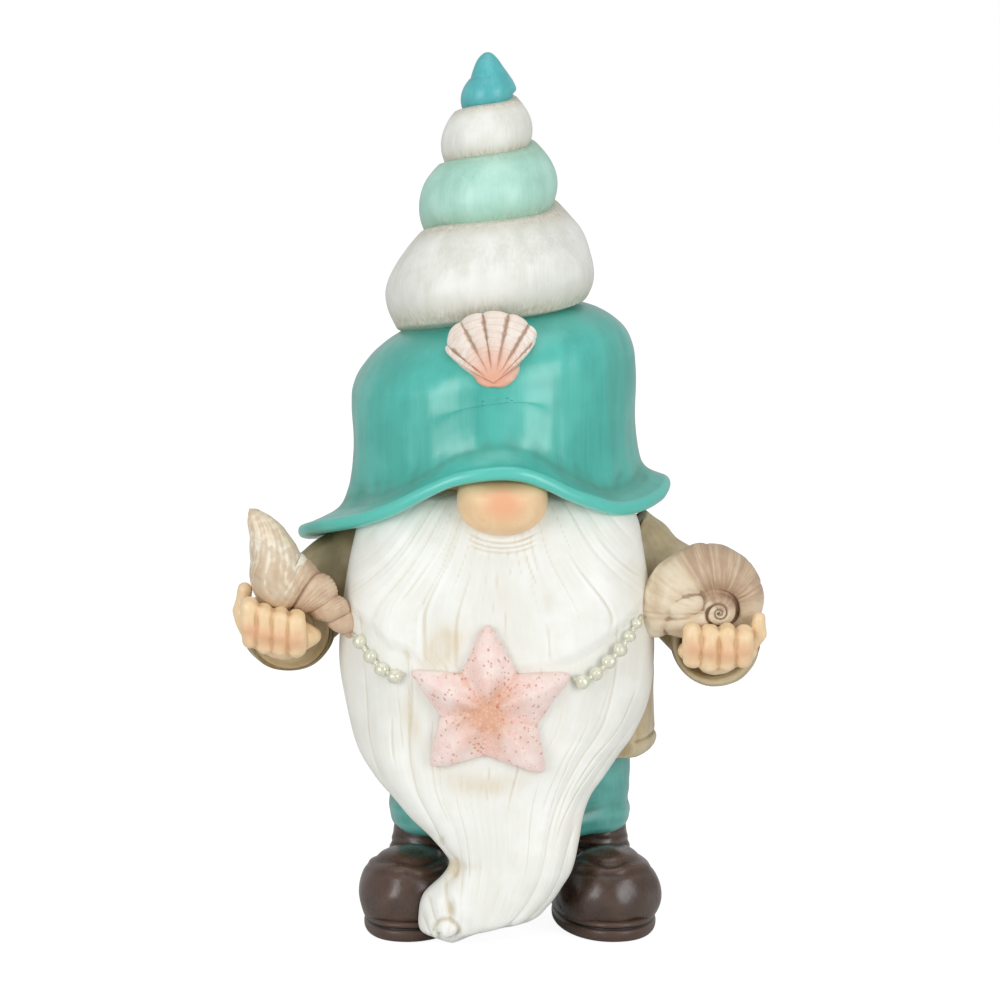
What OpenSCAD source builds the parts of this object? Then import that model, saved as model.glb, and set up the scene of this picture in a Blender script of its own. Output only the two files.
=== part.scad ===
// Garden gnome with a sea-shell hat, as an assembly of cast and painted resin pieces.
// Millimetres, +Z up. The gnome faces -Y, and left and right are the gnome's own, so its left is +X.
// The origin is the centre of the figure's footprint box, on the surface that it stands on.

/* [Boots and trousers] */
// Thickness of a boot's sole
sole_t = 5; // [3:0.5:8]
// Height of a boot's upper, from the sole to the ankle's top
boot_h = 25; // [20:1:32]
// Length of a boot, heel to toe
boot_l = 62; // [50:1:76]
// Width of a boot across the toe
boot_w = 34; // [28:1:42]
// Distance between the middles of the two boots
stance_w = 62; // [52:1:76]
// How far each toe turns outwards, in degrees
toe_out = 9; // [0:1:15]
// Height of the trousers that shows under the jacket
leg_h = 28; // [20:1:40]
// Width of the trousers across both legs
trousers_w = 79; // [66:1:96]
// Depth of the trousers, front to back
trousers_d = 56; // [46:1:66]

/* [Jacket and arms] */
// Width of the jacket at its hem
jacket_w = 100; // [84:1:120]
// Depth of the jacket at its hem, if its front were round
jacket_d = 78; // [66:1:94]
// Height of the jacket, hem to neck
jacket_h = 90; // [78:1:108]
// Wall of the hollow castings
wall = 6; // [4:0.5:8]
// Radius of a sleeve at its cuff
cuff_r = 14.5; // [12:0.5:17]
// How far the hands reach forward of the cuffs
hand_l = 28; // [24:1:33]
// Width of a hand across its four fingers
hand_w = 25; // [21:1:30]

/* [Head and beard] */
// Radius of the nose, front to back
nose_r = 12.5; // [10:0.5:15]
// Width of the nose
nose_w = 30; // [25:1:36]
// Widest part of the beard
beard_w = 106; // [90:1:126]
// Depth of the beard in front of the jacket, at its fullest
beard_d = 31; // [26:1:37]

/* [Hat and spire] */
// Height of the hat's crown above the brim
crown_h = 62; // [52:1:74]
// Width of the crown
crown_w = 96.5; // [82:1:114]
// How far the brim stands out from the crown
brim_out = 11; // [8:0.5:15]
// Wall of the hat
hat_wall = 4.5; // [3.5:0.5:6]
// Radius of each whorl of the spire, from the hat up to the tip
whorl_r = [35.3, 23.8, 15.4, 9];
// Height of each whorl of the spire, from the hat up to the tip
whorl_h = [31.5, 21.5, 18.7, 16.8];
// Slope of the seams between the whorls, in degrees
seam_tilt = 8.8; // [4:0.2:12]
// Width of the scallop on the crown
scallop_w = 31; // [24:1:38]

/* [Shells, star and beads] */
// Length of the whelk, spout to apex
whelk_l = 58; // [48:1:68]
// Radius of the whelk's largest whorl
whelk_r = 10.5; // [8:0.5:12.5]
// Radius of the moon snail's mouth
snail_r = 11.5; // [9:0.5:14]
// Thickness of the starfish at its middle
star_t = 6; // [4:0.5:8]
// Diameter of one bead
bead_d = 4.8; // [3.5:0.1:5.8]
// Diameter of the wire that the beads are threaded on
wire_d = 1.2; // [0.8:0.1:2]

/* [Fits] */
// Gap between two castings that are glued together
glue_gap = 0.1; // [0.05:0.05:0.3]
// Gap between two castings that only lie against each other
lie_gap = 0.3; // [0.2:0.05:0.5]
// Radius of the locating pegs
peg_r = 4; // [3:0.5:5]
// Length of the locating pegs
peg_l = 7; // [5:0.5:8]

/* [Hidden] */

$fn = 48;
round_n = 32;

// Heights, from the ground up
ankle_z = sole_t + boot_h;
hem_z = ankle_z + leg_h;
neck_z = hem_z + jacket_h;
rim_z = neck_z - 4;
shoulder_z = rim_z + 0.62 * crown_h;
crown_top_z = rim_z + crown_h + 4;

// Places in plan
body_x = 2.5;
hat_x = -2.7;
hat_y = 2.5;
crown_rx = crown_w / 2;
crown_ry = crown_rx - 1.5;
landing_y = -22;
boot_y = -14;

// Colours
TEAL = [0.31, 0.74, 0.68];
TIP = [0.37, 0.73, 0.75];
MINT = [0.72, 0.90, 0.83];
WHITE = [0.94, 0.94, 0.91];
TAN = [0.72, 0.66, 0.53];
SKIN = [0.90, 0.74, 0.56];
PINK = [0.93, 0.80, 0.74];
BROWN = [0.29, 0.21, 0.17];
PEARL = [0.80, 0.80, 0.72];
SHELL = [0.84, 0.75, 0.62];

// ---- helpers -------------------------------------------------------------------------------

function mix(a, b, t) = a + (b - a) * t;
function clamp(v, low, high) = max(low, min(high, v));
function signed_power(v, e) = sign(v) * pow(abs(v), e);

// Slope of a table of [place, value] rows at row i, for the curve below
function row_slope(t, i) =
    let (a = max(i - 1, 0), b = min(i + 1, len(t) - 1)) (t[b][1] - t[a][1]) / (t[b][0] - t[a][0]);

// Smooth curve through the rows of a table whose places rise
function curve(p, t) =
    let (
        last = len(t) - 1,
        q = clamp(p, t[0][0], t[last][0]),
        i = max([for (k = [0:last - 1]) if (q >= t[k][0]) k]),
        w = t[i + 1][0] - t[i][0],
        s = (q - t[i][0]) / w
    )
    t[i][1] * (2 * s ^ 3 - 3 * s ^ 2 + 1) + row_slope(t, i) * w * (s ^ 3 - 2 * s ^ 2 + s)
    + t[i + 1][1] * (3 * s ^ 2 - 2 * s ^ 3) + row_slope(t, i + 1) * w * (s ^ 3 - s ^ 2);

function ellipse_ring(centre, rx, ry, n = round_n) =
    [for (j = [0:n - 1]) centre + [rx * cos(360 * j / n), ry * sin(360 * j / n), 0]];

// Closed solid through rings that have the same number of points. Rings run anticlockwise seen
// from above and rise on the outside, and fall on the inside of a hollow one.
module loft(rings) {
    n = len(rings[0]);
    m = len(rings);
    points = [for (ring = rings) for (p = ring) p];
    sides = [for (i = [0:m - 2], j = [0:n - 1])
        let (a = i * n + j, b = i * n + (j + 1) % n, c = b + n, d = a + n)
        each [[a, d, c], [a, c, b]]];
    bottom = [[for (j = [0:n - 1]) j]];
    top = [[for (j = [n - 1:-1:0]) (m - 1) * n + j]];
    polyhedron(points, concat(sides, bottom, top), convexity = 8);
}

module peg(gap = 0) {
    cylinder(r = peg_r + gap, h = peg_l + gap);
}

// Puts its child on both sides of a symmetrical figure: side is 1 for the left, -1 for the right
module mirrored(side) {
    if (side > 0) children();
    else mirror([1, 0, 0]) children();
}

// ---- boots -------------------------------------------------------------------------------

// Outline of a foot, as a ring at height z: a broad round toe to -Y and a narrower heel
function foot_ring(z, half_w, toe_y, heel_y, n = 28) =
    let (mid = (toe_y + heel_y) / 2, half_l = (heel_y - toe_y) / 2)
    [for (j = [0:n - 1])
        let (a = 360 * j / n, narrow = mix(1, 0.8, clamp(sin(a), 0, 1)))
        [half_w * narrow * signed_power(cos(a), 0.9), mid + half_l * signed_power(sin(a), 0.9), z]];

toe_y = -boot_l * 0.52;
heel_y = boot_l * 0.48;
neck_r = 8.5;
neck_y = 9;
// Rows of [height up the upper, share of the half width, toe, heel]
boot_rows = [[0, 0.94, toe_y + 1, heel_y - 1], [0.28, 1, toe_y, heel_y],
    [0.52, 0.95, toe_y + 2, heel_y - 1], [0.72, 0.78, toe_y + 9, heel_y - 3],
    [0.84, 0.56, toe_y + 19, heel_y - 6]];

module place_boot(side) {
    translate([body_x + side * stance_w / 2, boot_y, 0]) rotate(side * toe_out) mirrored(side)
        children();
}

module boot(side) {
    color(BROWN) place_boot(side) {
        difference() {
            loft([for (r = boot_rows)
                foot_ring(sole_t + r[0] * boot_h, r[1] * boot_w / 2, r[2], r[3])]);
            translate([0, 0, sole_t - 1]) cylinder(r = peg_r + glue_gap, h = sole_t / 2 + 1);
        }
        translate([0, neck_y, sole_t + 0.8 * boot_h]) cylinder(r = neck_r, h = 0.2 * boot_h + peg_l);
    }
}

module sole(side) {
    color(BROWN) place_boot(side) {
        linear_extrude(sole_t) polygon([for (p = foot_ring(0, boot_w / 2, toe_y - 0.5, heel_y + 0.5))
            [p[0], p[1]]]);
        translate([0, 0, sole_t - 1]) cylinder(r = peg_r, h = sole_t / 2);
    }
}

// ---- trousers ------------------------------------------------------------------------------

// Two legs in one ring: an oval that is pinched at the middle, front and back
function legs_ring(z, inset, pinch) =
    [for (j = [0:round_n - 1])
        let (a = 360 * j / round_n, dip = 1 - pinch * exp(-pow(cos(a) / 0.3, 2)))
        [body_x + (trousers_w / 2 - inset) * signed_power(cos(a), 0.8),
            (trousers_d / 2 - inset) * signed_power(sin(a), 0.8) * dip, z]];

hip_l = 10;

module trousers() {
    hem = jacket_rows[0];
    color(TEAL) difference() {
        loft([legs_ring(ankle_z, 4, 0.3), legs_ring(ankle_z + 1.5, 1.5, 0.28),
            legs_ring(ankle_z + 5, 0, 0.25), legs_ring(ankle_z + 0.5 * leg_h, 0.5, 0.2),
            legs_ring(hem_z - 4, 0.5, 0.14), jacket_ring(hem, wall + glue_gap, hem_z - lie_gap),
            jacket_ring(hem, wall + glue_gap, hem_z + hip_l - glue_gap)]);
        for (side = [-1, 1]) place_boot(side) translate([0, neck_y, ankle_z - 1])
            cylinder(r = neck_r + glue_gap, h = peg_l + 1 + glue_gap);
    }
}

// ---- jacket and arms -----------------------------------------------------------------------

// Rows of [share of the jacket's height, share of its width, share of its depth]
jacket_rows = [[0, 0.97, 0.97], [0.04, 1, 1], [0.3, 0.985, 0.96], [0.55, 0.95, 0.9],
    [0.75, 0.86, 0.82], [0.88, 0.68, 0.7], [0.96, 0.48, 0.54]];
jacket_x_top = 0;
ledge = 2.5;
arm_z = hem_z + 0.75 * jacket_h;
arm_x = jacket_w * 0.38;
arm_y = 1;
landing_r = 24.5;

// One level of the jacket, drawn in by inset, with its front flat where the beard lies
function jacket_ring(row, inset, z) =
    [for (p = ellipse_ring([mix(body_x, jacket_x_top, row[0]), 0, z],
            row[1] * jacket_w / 2 - inset, row[2] * jacket_d / 2 - inset))
        [p[0], max(p[1], landing_y + inset), z]];

module jacket() {
    rows = jacket_rows;
    last = len(rows) - 1;
    neck_hole_r = peg_r + glue_gap;
    inner = [for (i = [last:-1:2]) let (z = hem_z + rows[i][0] * jacket_h)
        jacket_ring(rows[i], wall, i == last ? z - wall : z)];
    socket = [jacket_ring(rows[0], wall + ledge, hem_z + hip_l), jacket_ring(rows[0], wall, hem_z + hip_l),
        jacket_ring(rows[0], wall, hem_z)];
    outer = [for (r = rows) jacket_ring(r, 0, hem_z + r[0] * jacket_h)];
    color(TAN) difference() {
        loft(concat(inner, socket, outer));
        for (side = [-1, 1]) mirrored(side) translate(arm_root(side)) rotate([0, 90, 0]) {
            cylinder(r = landing_r, h = jacket_w);
            translate([0, 0, -wall * 2]) cylinder(r = peg_r + glue_gap, h = jacket_w);
        }
        cylinder(r = neck_hole_r, h = neck_z + wall);
        for (x = [-1, 1]) translate([x * beard_peg_x, landing_y - 1, beard_peg_z]) rotate([-90, 0, 0])
            cylinder(r = peg_r + glue_gap, h = peg_l + 1 + glue_gap);
    }
}

beard_peg_x = 22;
beard_peg_z = hem_z + 0.45 * jacket_h;

// Arms: how far each one's cuff stands out from the jacket, and its height over the jacket's hem
arm_reach = [22, 21.5];
cuff_z = [43.5, 39];
cuff_y = -18;

function side_index(side) = side > 0 ? 1 : 0;
function arm_cuff(side) =
    [jacket_w / 2 + arm_reach[side_index(side)], cuff_y, hem_z + cuff_z[side_index(side)]];
function arm_root(side) = [arm_x + side * body_x * 0.5, arm_y, arm_z];

// Upright oval ring of a sleeve, turned by angle about Z from facing +X towards facing -Y
function sleeve_ring(centre, r, tall, angle, n = 20) =
    [for (j = [0:n - 1]) let (a = 360 * j / n, u = r * cos(a), v = tall * sin(a))
        centre + [u * sin(angle), u * cos(angle), v]];

function sleeve_rings(side) =
    let (c = arm_cuff(side), s = arm_root(side), elbow = [c[0] - 4, 3, c[2] + 6])
    [sleeve_ring(s, 15, 17.5, 0), sleeve_ring(mix(s, elbow, 0.45), 14.5, 16.5, 8),
        sleeve_ring(mix(s, elbow, 0.85), 14.5, 15.5, 25), sleeve_ring(elbow + [3.5, -4, -4], 14.5, 15, 55),
        sleeve_ring(c + [0.5, 8, 0], cuff_r - 0.5, cuff_r, 82), sleeve_ring(c + [0, 2.5, 0], cuff_r, cuff_r, 90),
        sleeve_ring(c, cuff_r - 1.2, cuff_r - 1.2, 90)];

wrist_r = 8.5;
wrist_l = 6;

module sleeve(side) {
    color(TAN) mirrored(side) {
        difference() {
            loft(sleeve_rings(side));
            translate(arm_cuff(side) + [0, wrist_l + glue_gap, 0]) rotate([90, 0, 0])
                cylinder(r = wrist_r + glue_gap, h = wrist_l * 2);
        }
        translate(arm_root(side) + [2, 0, 0]) rotate([0, -90, 0]) cylinder(r = peg_r, h = peg_l + 2);
    }
}

// ---- hands ---------------------------------------------------------------------------------

finger_r = hand_w / 8 + 0.2;
finger_rise = [11, 8];

// A rod from point a to point b
module rod(a, b, r) {
    d = b - a;
    translate(a) rotate([0, acos(d[2] / norm(d)), atan2(d[1], d[0])]) cylinder(r = r, h = norm(d));
}

// Two bones of a finger, with a knuckle at each end of both
module finger(base, bend, tip, r = finger_r) {
    translate(base) sphere(r);
    translate(bend) sphere(r * 1.02);
    translate(tip) sphere(r * 0.96);
    rod(base, bend, r * 0.9);
    rod(bend, tip, r * 0.86);
}

// A hand with its palm up, its wrist at the cuff: fingers curl up in front of what it holds
module hand_form(side) {
    c = arm_cuff(side);
    front = -hand_l + finger_r;
    rise = finger_rise[side_index(side)];
    thumb_x = side * (hand_w / 2 + 2.5);
    translate([side * c[0], c[1], c[2]]) {
        translate([0, wrist_l, 0]) rotate([90, 0, 0]) cylinder(r = wrist_r, h = wrist_l + 2);
        translate([side * 2, front * 0.5, -1]) scale([hand_w / 10, -front / 10, 1]) sphere(5.2);
        for (k = [0:3]) {
            x = side * ((k - 1.5) * hand_w / 4 + 2);
            finger([x, front + 3, -1.5], [x, front, 3], [x, front + 1, rise - 0.7 * abs(k - 1.2)]);
        }
        finger([thumb_x - side * 4, -6, 0], [thumb_x, -10, 4], [thumb_x, -13.5, 10], finger_r * 0.9);
    }
}

module right_hand() {
    color(SKIN) difference() {
        hand_form(-1);
        whelk_form(lie_gap);
    }
}

module left_hand() {
    color(SKIN) difference() {
        hand_form(1);
        snail_seat();
    }
}

// ---- shells in the hands ------------------------------------------------------------------

// Outline of the whelk as [distance along its axis, radius], from the apex to the spout's tip
whelk_rows = [[0, 0.1], [0.07, 0.26], [0.11, 0.24], [0.17, 0.42], [0.22, 0.38], [0.3, 0.62],
    [0.36, 0.56], [0.44, 0.86], [0.52, 1], [0.62, 0.93], [0.75, 0.66], [0.88, 0.4], [1, 0.2]];
whelk_lean = 42;
whelk_back = 12;

module whelk_form(grow = 0) {
    c = arm_cuff(-1);
    apex = [-c[0] + 24, c[1] - 22, c[2] + 0.5];
    translate(apex) rotate([0, -whelk_lean, 0]) rotate([-whelk_back, 0, 0]) translate([0, 0, -grow])
        rotate_extrude() polygon(concat([[0, 0]],
            [for (r = whelk_rows) [r[1] * whelk_r + grow, r[0] * (whelk_l + 2 * grow)]],
            [[0, whelk_l + 2 * grow]]));
}

module whelk_shell() {
    color(SHELL) whelk_form();
}

// The moon snail's tube, from its mouth (turn 0) to its eye: a spiral that faces the front
snail_turns = 1.1;
snail_steps = 11;
function snail_scale(k) = pow(0.34, snail_turns * k / snail_steps);
function snail_point(k) =
    let (a = 190 - 360 * snail_turns * k / snail_steps, r = snail_r * 1.18 * snail_scale(k))
    [r * cos(a), -1.5 * (1 - snail_scale(k)), r * sin(a)];

// Its middle: the shell's inner side and back stay where they are when the shell grows
function snail_middle() =
    let (c = arm_cuff(1))
    [c[0] - 23.5 + 2.174 * snail_r, c[1] + 0.5 - snail_r, c[2] + snail_r + 4];

module snail_form(grow = 0) {
    translate(snail_middle())
        for (k = [0:snail_steps - 1]) hull() for (i = [k, k + 1])
            translate(snail_point(i)) sphere(snail_r * snail_scale(i) + grow, $fn = 18);
}

module moon_snail_shell() {
    color(SHELL) snail_form();
}

// The hollow that the moon snail lies in
module snail_seat() {
    slack = lie_gap + 0.06 * snail_r;
    translate(snail_middle())
        for (k = [0:snail_steps - 2]) translate(snail_point(k)) sphere(snail_r * snail_scale(k) + slack);
}

// ---- beard, starfish and beads -------------------------------------------------------------

beard_top_z = rim_z + 7;
beard_x = -1.9;
beard_full = 2.3;
beard_end_d = 14;
// Left edge, right edge, back and depth of the beard. Each row starts with the height, as a
// share of the beard's own height. Edges are shares of its half width.
edge_right_rows = [[0, -0.38], [0.03, -0.48], [0.06, -0.49], [0.1, -0.45], [0.14, -0.33],
    [0.18, -0.37], [0.23, -0.46], [0.31, -0.66], [0.39, -0.82], [0.48, -0.93], [0.62, -1],
    [0.75, -0.97], [0.87, -0.91], [0.94, -0.84], [1, -0.66]];
edge_left_rows = [[0, -0.22], [0.03, -0.1], [0.06, 0.24], [0.1, 0.4], [0.14, 0.48], [0.18, 0.53],
    [0.23, 0.56], [0.31, 0.66], [0.39, 0.79], [0.48, 0.94], [0.62, 1], [0.75, 0.97], [0.87, 0.92],
    [0.94, 0.87], [1, 0.7]];
depth_rows = [[0, 0.28], [0.06, 0.46], [0.14, 0.44], [0.23, 0.36], [0.31, 0.55], [0.39, 0.8],
    [0.46, 1], [0.62, 0.98], [0.8, 0.86], [0.92, 0.7], [1, 0.46]];
toe_clear_y = boot_y + toe_y - lie_gap - 0.7;
back_rows = [[0, toe_clear_y], [0.23, toe_clear_y], [0.31, -39], [0.39, -30.5], [0.45, landing_y],
    [1, landing_y]];

function beard_level(z) =
    let (
        u = z / beard_top_z,
        low = beard_x + curve(u, edge_right_rows) * beard_w / 2,
        high = beard_x + curve(u, edge_left_rows) * beard_w / 2
    )
    [(low + high) / 2, (high - low) / 2, lookup(u, back_rows), curve(u, depth_rows) * beard_d];

// The beard's front surface at a place across it and a height
function beard_front(x, z) =
    let (l = beard_level(z), t = clamp(abs(x - l[0]) / l[1], 0, 1))
    l[2] - l[3] * pow(1 - pow(t, beard_full), 1 / beard_full);

function beard_ring(z, n = 18) =
    let (l = beard_level(z))
    [for (j = [0:n]) let (a = 180 + 180 * j / n)
        [l[0] + l[1] * signed_power(cos(a), 2 / beard_full),
            l[2] - l[3] * pow(abs(sin(a)), 2 / beard_full), z]];

beard_heights = [0.002, 0.03, 0.06, 0.1, 0.14, 0.18, 0.23, 0.28, 0.34, 0.4, 0.45, 0.52, 0.6, 0.7, 0.8,
    0.9, 1];

module beard() {
    color(WHITE) difference() {
        union() {
            loft([for (u = beard_heights) beard_ring(u * beard_top_z)]);
            for (x = [-1, 1]) translate([x * beard_peg_x, landing_y - 2, beard_peg_z])
                rotate([-90, 0, 0]) cylinder(r = peg_r, h = peg_l + 2);
        }
        nose_form(glue_gap);
        head_form(lie_gap);
        whelk_form(lie_gap);
        snail_form(lie_gap);
        hat_form();
    }
}

star_x = -5.4;
star_z = hem_z + 21;
star_inner = 16;
// Rows of [direction, length] of the starfish's five arms
star_arms = [[89, 32.5], [157, 30], [226, 27], [313, 29], [384, 32]];

// How far the starfish reaches in direction a, which is 24 to 384
function star_reach(a) =
    max([for (arm = star_arms)
        let (off = abs((a - arm[0] + 540) % 360 - 180))
        star_inner + (arm[1] - star_inner) * pow(max(cos(min(off, 36) * 2.5), 0), 1.7)]);

function star_ring(s, n = 50) =
    [for (j = [0:n - 1])
        let (a = 24 + 360 * j / n, r = star_reach(a) * s, x = star_x + r * cos(a),
            z = star_z + r * sin(a))
        [x, beard_front(x, z) - lie_gap, z, 0]];

// One ring of the starfish, raised from the beard by height
function raised(ring, height) = [for (p = ring) [p[0], p[1] - height, p[2]]];

module starfish() {
    color(PINK) loft([raised(star_ring(0.3), 0), raised(star_ring(0.9), 0), raised(star_ring(1), 0.8),
        raised(star_ring(0.88), star_t * 0.7), raised(star_ring(0.6), star_t),
        raised(star_ring(0.25), star_t * 0.85)]);
}

bead_r = bead_d / 2;
// Ends of each string, as [x, height over the jacket's hem], and how far it sags between them
right_string = [[-37.5, 30.5], [-48, 39.5], 1.5];
left_string = [[27.5, 30], [47, 45.5], 2];

// Outward direction of the beard's front at a place across it and a height
function beard_normal(x, z) =
    let (n = [beard_front(x + 0.5, z) - beard_front(x - 0.5, z), -1,
        beard_front(x, z + 0.5) - beard_front(x, z - 0.5)])
    n / norm(n);

function bead_place(string, t) =
    let (
        flat = mix(string[0], string[1], t),
        z = hem_z + flat[1] - string[2] * 4 * t * (1 - t)
    )
    [flat[0], beard_front(flat[0], z), z] + beard_normal(flat[0], z) * (bead_r + lie_gap / 2);

module bead_string(string, count) {
    places = [for (k = [0:count - 1]) bead_place(string, k / (count - 1))];
    color(PEARL) union() {
        for (p = places) translate(p) sphere(bead_r * 0.98);
        for (k = [0:count - 2]) rod(places[k], places[k + 1], wire_d / 2);
    }
}

// ---- head and nose -------------------------------------------------------------------------

nose_z = rim_z + 5.5;
nose_y = landing_y - 20;

module nose_form(grow = 0) {
    translate([0, nose_y, nose_z]) scale([(nose_w / 2 + grow) / (nose_r + grow), 1, 1])
        sphere(nose_r + grow, $fn = 40);
}

module nose() {
    color(SKIN) nose_form();
}

// Crown of the hat at one height: the radius as a share, for heights over the shoulder
dome_h = crown_top_z - shoulder_z;
function dome_share(z) = pow(max(0, 1 - pow(clamp((z - shoulder_z) / dome_h, 0, 1), 2.3)), 1 / 2.3);

// The crown leans with the spire's seams, from nothing at the brim to all of it at the shoulder
function lean(x, z) = tan(seam_tilt) * (x - hat_x) * clamp((z - rim_z - 8) / (shoulder_z - rim_z), 0, 1);

function crown_ring(z, inset, share = undef) =
    let (k = is_undef(share) ? dome_share(z) : share)
    [for (p = ellipse_ring([hat_x, hat_y, 0], k * (crown_rx - inset), k * (crown_ry - inset)))
        [p[0], p[1], z + lean(p[0], z)]];

// The head fills the hat, stands on the jacket's neck and carries the nose
module head_form(grow = 0) {
    fit = hat_wall + lie_gap - grow;
    low = neck_z - 0.04 * jacket_h + lie_gap;
    loft([crown_ring(low - grow, fit, 0.68), crown_ring(rim_z + 9, fit, 0.96), crown_ring(rim_z + 18, fit),
        crown_ring(shoulder_z, fit), crown_ring(shoulder_z + dome_h * 0.45 - fit / 2, fit)]);
}

module head() {
    neck_l = peg_l + wall;
    color(SKIN) {
        difference() {
            head_form();
            nose_form(glue_gap);
        }
        translate([0, 0, neck_z - neck_l]) cylinder(r = peg_r, h = neck_l + 4);
    }
}

// ---- hat -----------------------------------------------------------------------------------

// Height and reach of the brim's edge round the hat; a is 0 on the left and 270 at the front
function brim_z(a) =
    rim_z + 4.5 * cos(a) + 3 * cos(3 * a) - 4 * sin(a) + 4 * sin(3 * a) - 3 * cos(2 * a);
function brim_reach(a) = brim_out - 3.5 * cos(a) + 3 * cos(2 * a) + 2 * sin(a);

// One ring of the brim: out is the share of its reach, up the share of its rise, lift a height
function brim_ring(out, up, lift, inset = 0) =
    [for (j = [0:round_n - 1])
        let (a = 360 * j / round_n, r = brim_reach(a) * out - inset, root = rim_z + 18)
        [hat_x + (crown_rx + r) * cos(a), hat_y + (crown_ry + r) * sin(a),
            mix(brim_z(a), root, up) + lift]];

spire_z = crown_top_z - 3.5;

// Crown and brim in one shell
module hat_form() {
    top = dome_share(spire_z);
    loft([crown_ring(shoulder_z + dome_h * 0.45 - hat_wall / 2, hat_wall),
        crown_ring(shoulder_z, hat_wall), crown_ring(rim_z + 18, hat_wall),
        brim_ring(0.35, 0.4, -hat_wall / 2, 2), brim_ring(0.9, 0.06, -hat_wall / 2),
        brim_ring(1, 0, -hat_wall / 4), brim_ring(1, 0, hat_wall / 4),
        brim_ring(0.88, 0.08, hat_wall / 2), brim_ring(0.45, 0.38, hat_wall / 4),
        brim_ring(0.12, 0.75, hat_wall / 4), crown_ring(rim_z + 22, 0), crown_ring(shoulder_z, 0),
        crown_ring(mix(shoulder_z, spire_z, 0.45), 0), crown_ring(mix(shoulder_z, spire_z, 0.75), 0),
        crown_ring(spire_z, 0, top)]);
}

module hat() {
    color(TEAL) difference() {
        hat_form();
        place_seam(spire_z) translate([0, 0, -peg_l]) peg(glue_gap);
        nose_form(lie_gap);
    }
}

// ---- spire ---------------------------------------------------------------------------------

// The spire's axis leans a little to the right as it rises
function axis_x(z) = hat_x - 0.022 * (z - spire_z);

// Puts its child on the sloping seam that crosses the spire's axis at height z
module place_seam(z) {
    translate([axis_x(z), hat_y, z]) rotate([0, -seam_tilt, 0]) children();
}

function seam_z(k) = k == 0 ? spire_z : seam_z(k - 1) + whorl_h[k - 1];

// A ring of the spire in a plane that slopes like the seams
function spire_ring(z, r) =
    [for (p = ellipse_ring([axis_x(z), hat_y, z], r, r))
        [p[0], p[1], z + tan(seam_tilt) * (p[0] - axis_x(z))]];

// A whorl's rings: a foot, a bulge and a top that fits under the next whorl
function whorl_rings(k) =
    let (low = seam_z(k), h = whorl_h[k] - lie_gap / 2, r = whorl_r[k], high = whorl_r[k + 1] * 0.84)
    concat([spire_ring(low, r * 0.86)],
        [for (a = [-50:20:70]) spire_ring(low + h * (0.44 + 0.52 * sin(a)),
            mix(a < 0 ? r * 0.8 : high, r, cos(a)))],
        [spire_ring(low + h, high)]);

module whorl(k, shade) {
    color(shade) {
        difference() {
            loft(whorl_rings(k));
            place_seam(seam_z(k + 1)) translate([0, 0, -peg_l]) peg(glue_gap);
        }
        place_seam(seam_z(k)) translate([0, 0, glue_gap - peg_l]) peg();
    }
}

// The tip: its own whorl, then the point above that whorl's notch
module teal_spire_tip() {
    h = whorl_h[3];
    r = whorl_r[3];
    low = seam_z(3);
    color(TIP) {
        loft([spire_ring(low, r * 0.9), spire_ring(low + h * 0.14, r), spire_ring(low + h * 0.3, r * 0.95),
            spire_ring(low + h * 0.47, r * 0.7), spire_ring(low + h * 0.54, r * 0.56),
            spire_ring(low + h * 0.66, r * 0.52), spire_ring(low + h * 0.82, r * 0.36),
            spire_ring(low + h * 0.95, r * 0.16)]);
        place_seam(low) translate([0, 0, glue_gap - peg_l]) peg();
    }
}

// ---- scallop ----------------------------------------------------------------------------------

scallop_z = mix(shoulder_z, crown_top_z, 0.55);
scallop_x = -4;
scallop_h = scallop_w * 0.7;
scallop_t = 3.6;
// Above this height the scallop stands clear of the crown
scallop_clear_z = mix(shoulder_z, crown_top_z, 0.68);

// Front of the crown at x and height z
function crown_front(x, z) =
    let (
        level = min(z, scallop_clear_z) - lean(x, z),
        k = dome_share(level),
        t = clamp((x - hat_x) / (crown_rx * k), -1, 1)
    )
    hat_y - crown_ry * k * sqrt(1 - t * t);

// Outline of the scallop: a fan above that narrows to its hinge below
function scallop_ring(s, height, n = 28) =
    [for (j = [0:n - 1])
        let (
            a = 360 * j / n,
            fan = a < 180 ? 1 : 0.3 + 0.7 * pow(abs(cos(a)), 1.4),
            x = scallop_x + s * fan * scallop_w / 2 * signed_power(cos(a), 0.85),
            z = scallop_z + s * scallop_h / 2 * sin(a)
        )
        [x, crown_front(x, z) - lie_gap - height, z]];

// The scallop, clear of the whorl above it
module hat_scallop() {
    color(PINK) difference() {
        loft([scallop_ring(0.3, 0), scallop_ring(0.92, 0), scallop_ring(1, 0.8),
            scallop_ring(0.9, scallop_t * 0.7), scallop_ring(0.6, scallop_t), scallop_ring(0.25, scallop_t)]);
        loft(whorl_rings(0));
    }
}

// ---- the figure -------------------------------------------------------------------------------

hat();
whorl(0, WHITE);  // large_white_whorl
whorl(1, MINT);  // mint_whorl
whorl(2, WHITE);  // small_white_whorl
teal_spire_tip();
hat_scallop();
head();
nose();
beard();
starfish();
bead_string(right_string, 4);  // right_bead_string
bead_string(left_string, 6);  // left_bead_string
jacket();
sleeve(-1);  // right_sleeve
sleeve(1);  // left_sleeve
right_hand();
left_hand();
whelk_shell();
moon_snail_shell();
trousers();
boot(-1);  // right_boot
boot(1);  // left_boot
sole(-1);  // right_sole
sole(1);  // left_sole
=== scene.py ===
import math

import bmesh
import bpy
import numpy as np
from mathutils import Matrix, Vector


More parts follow.
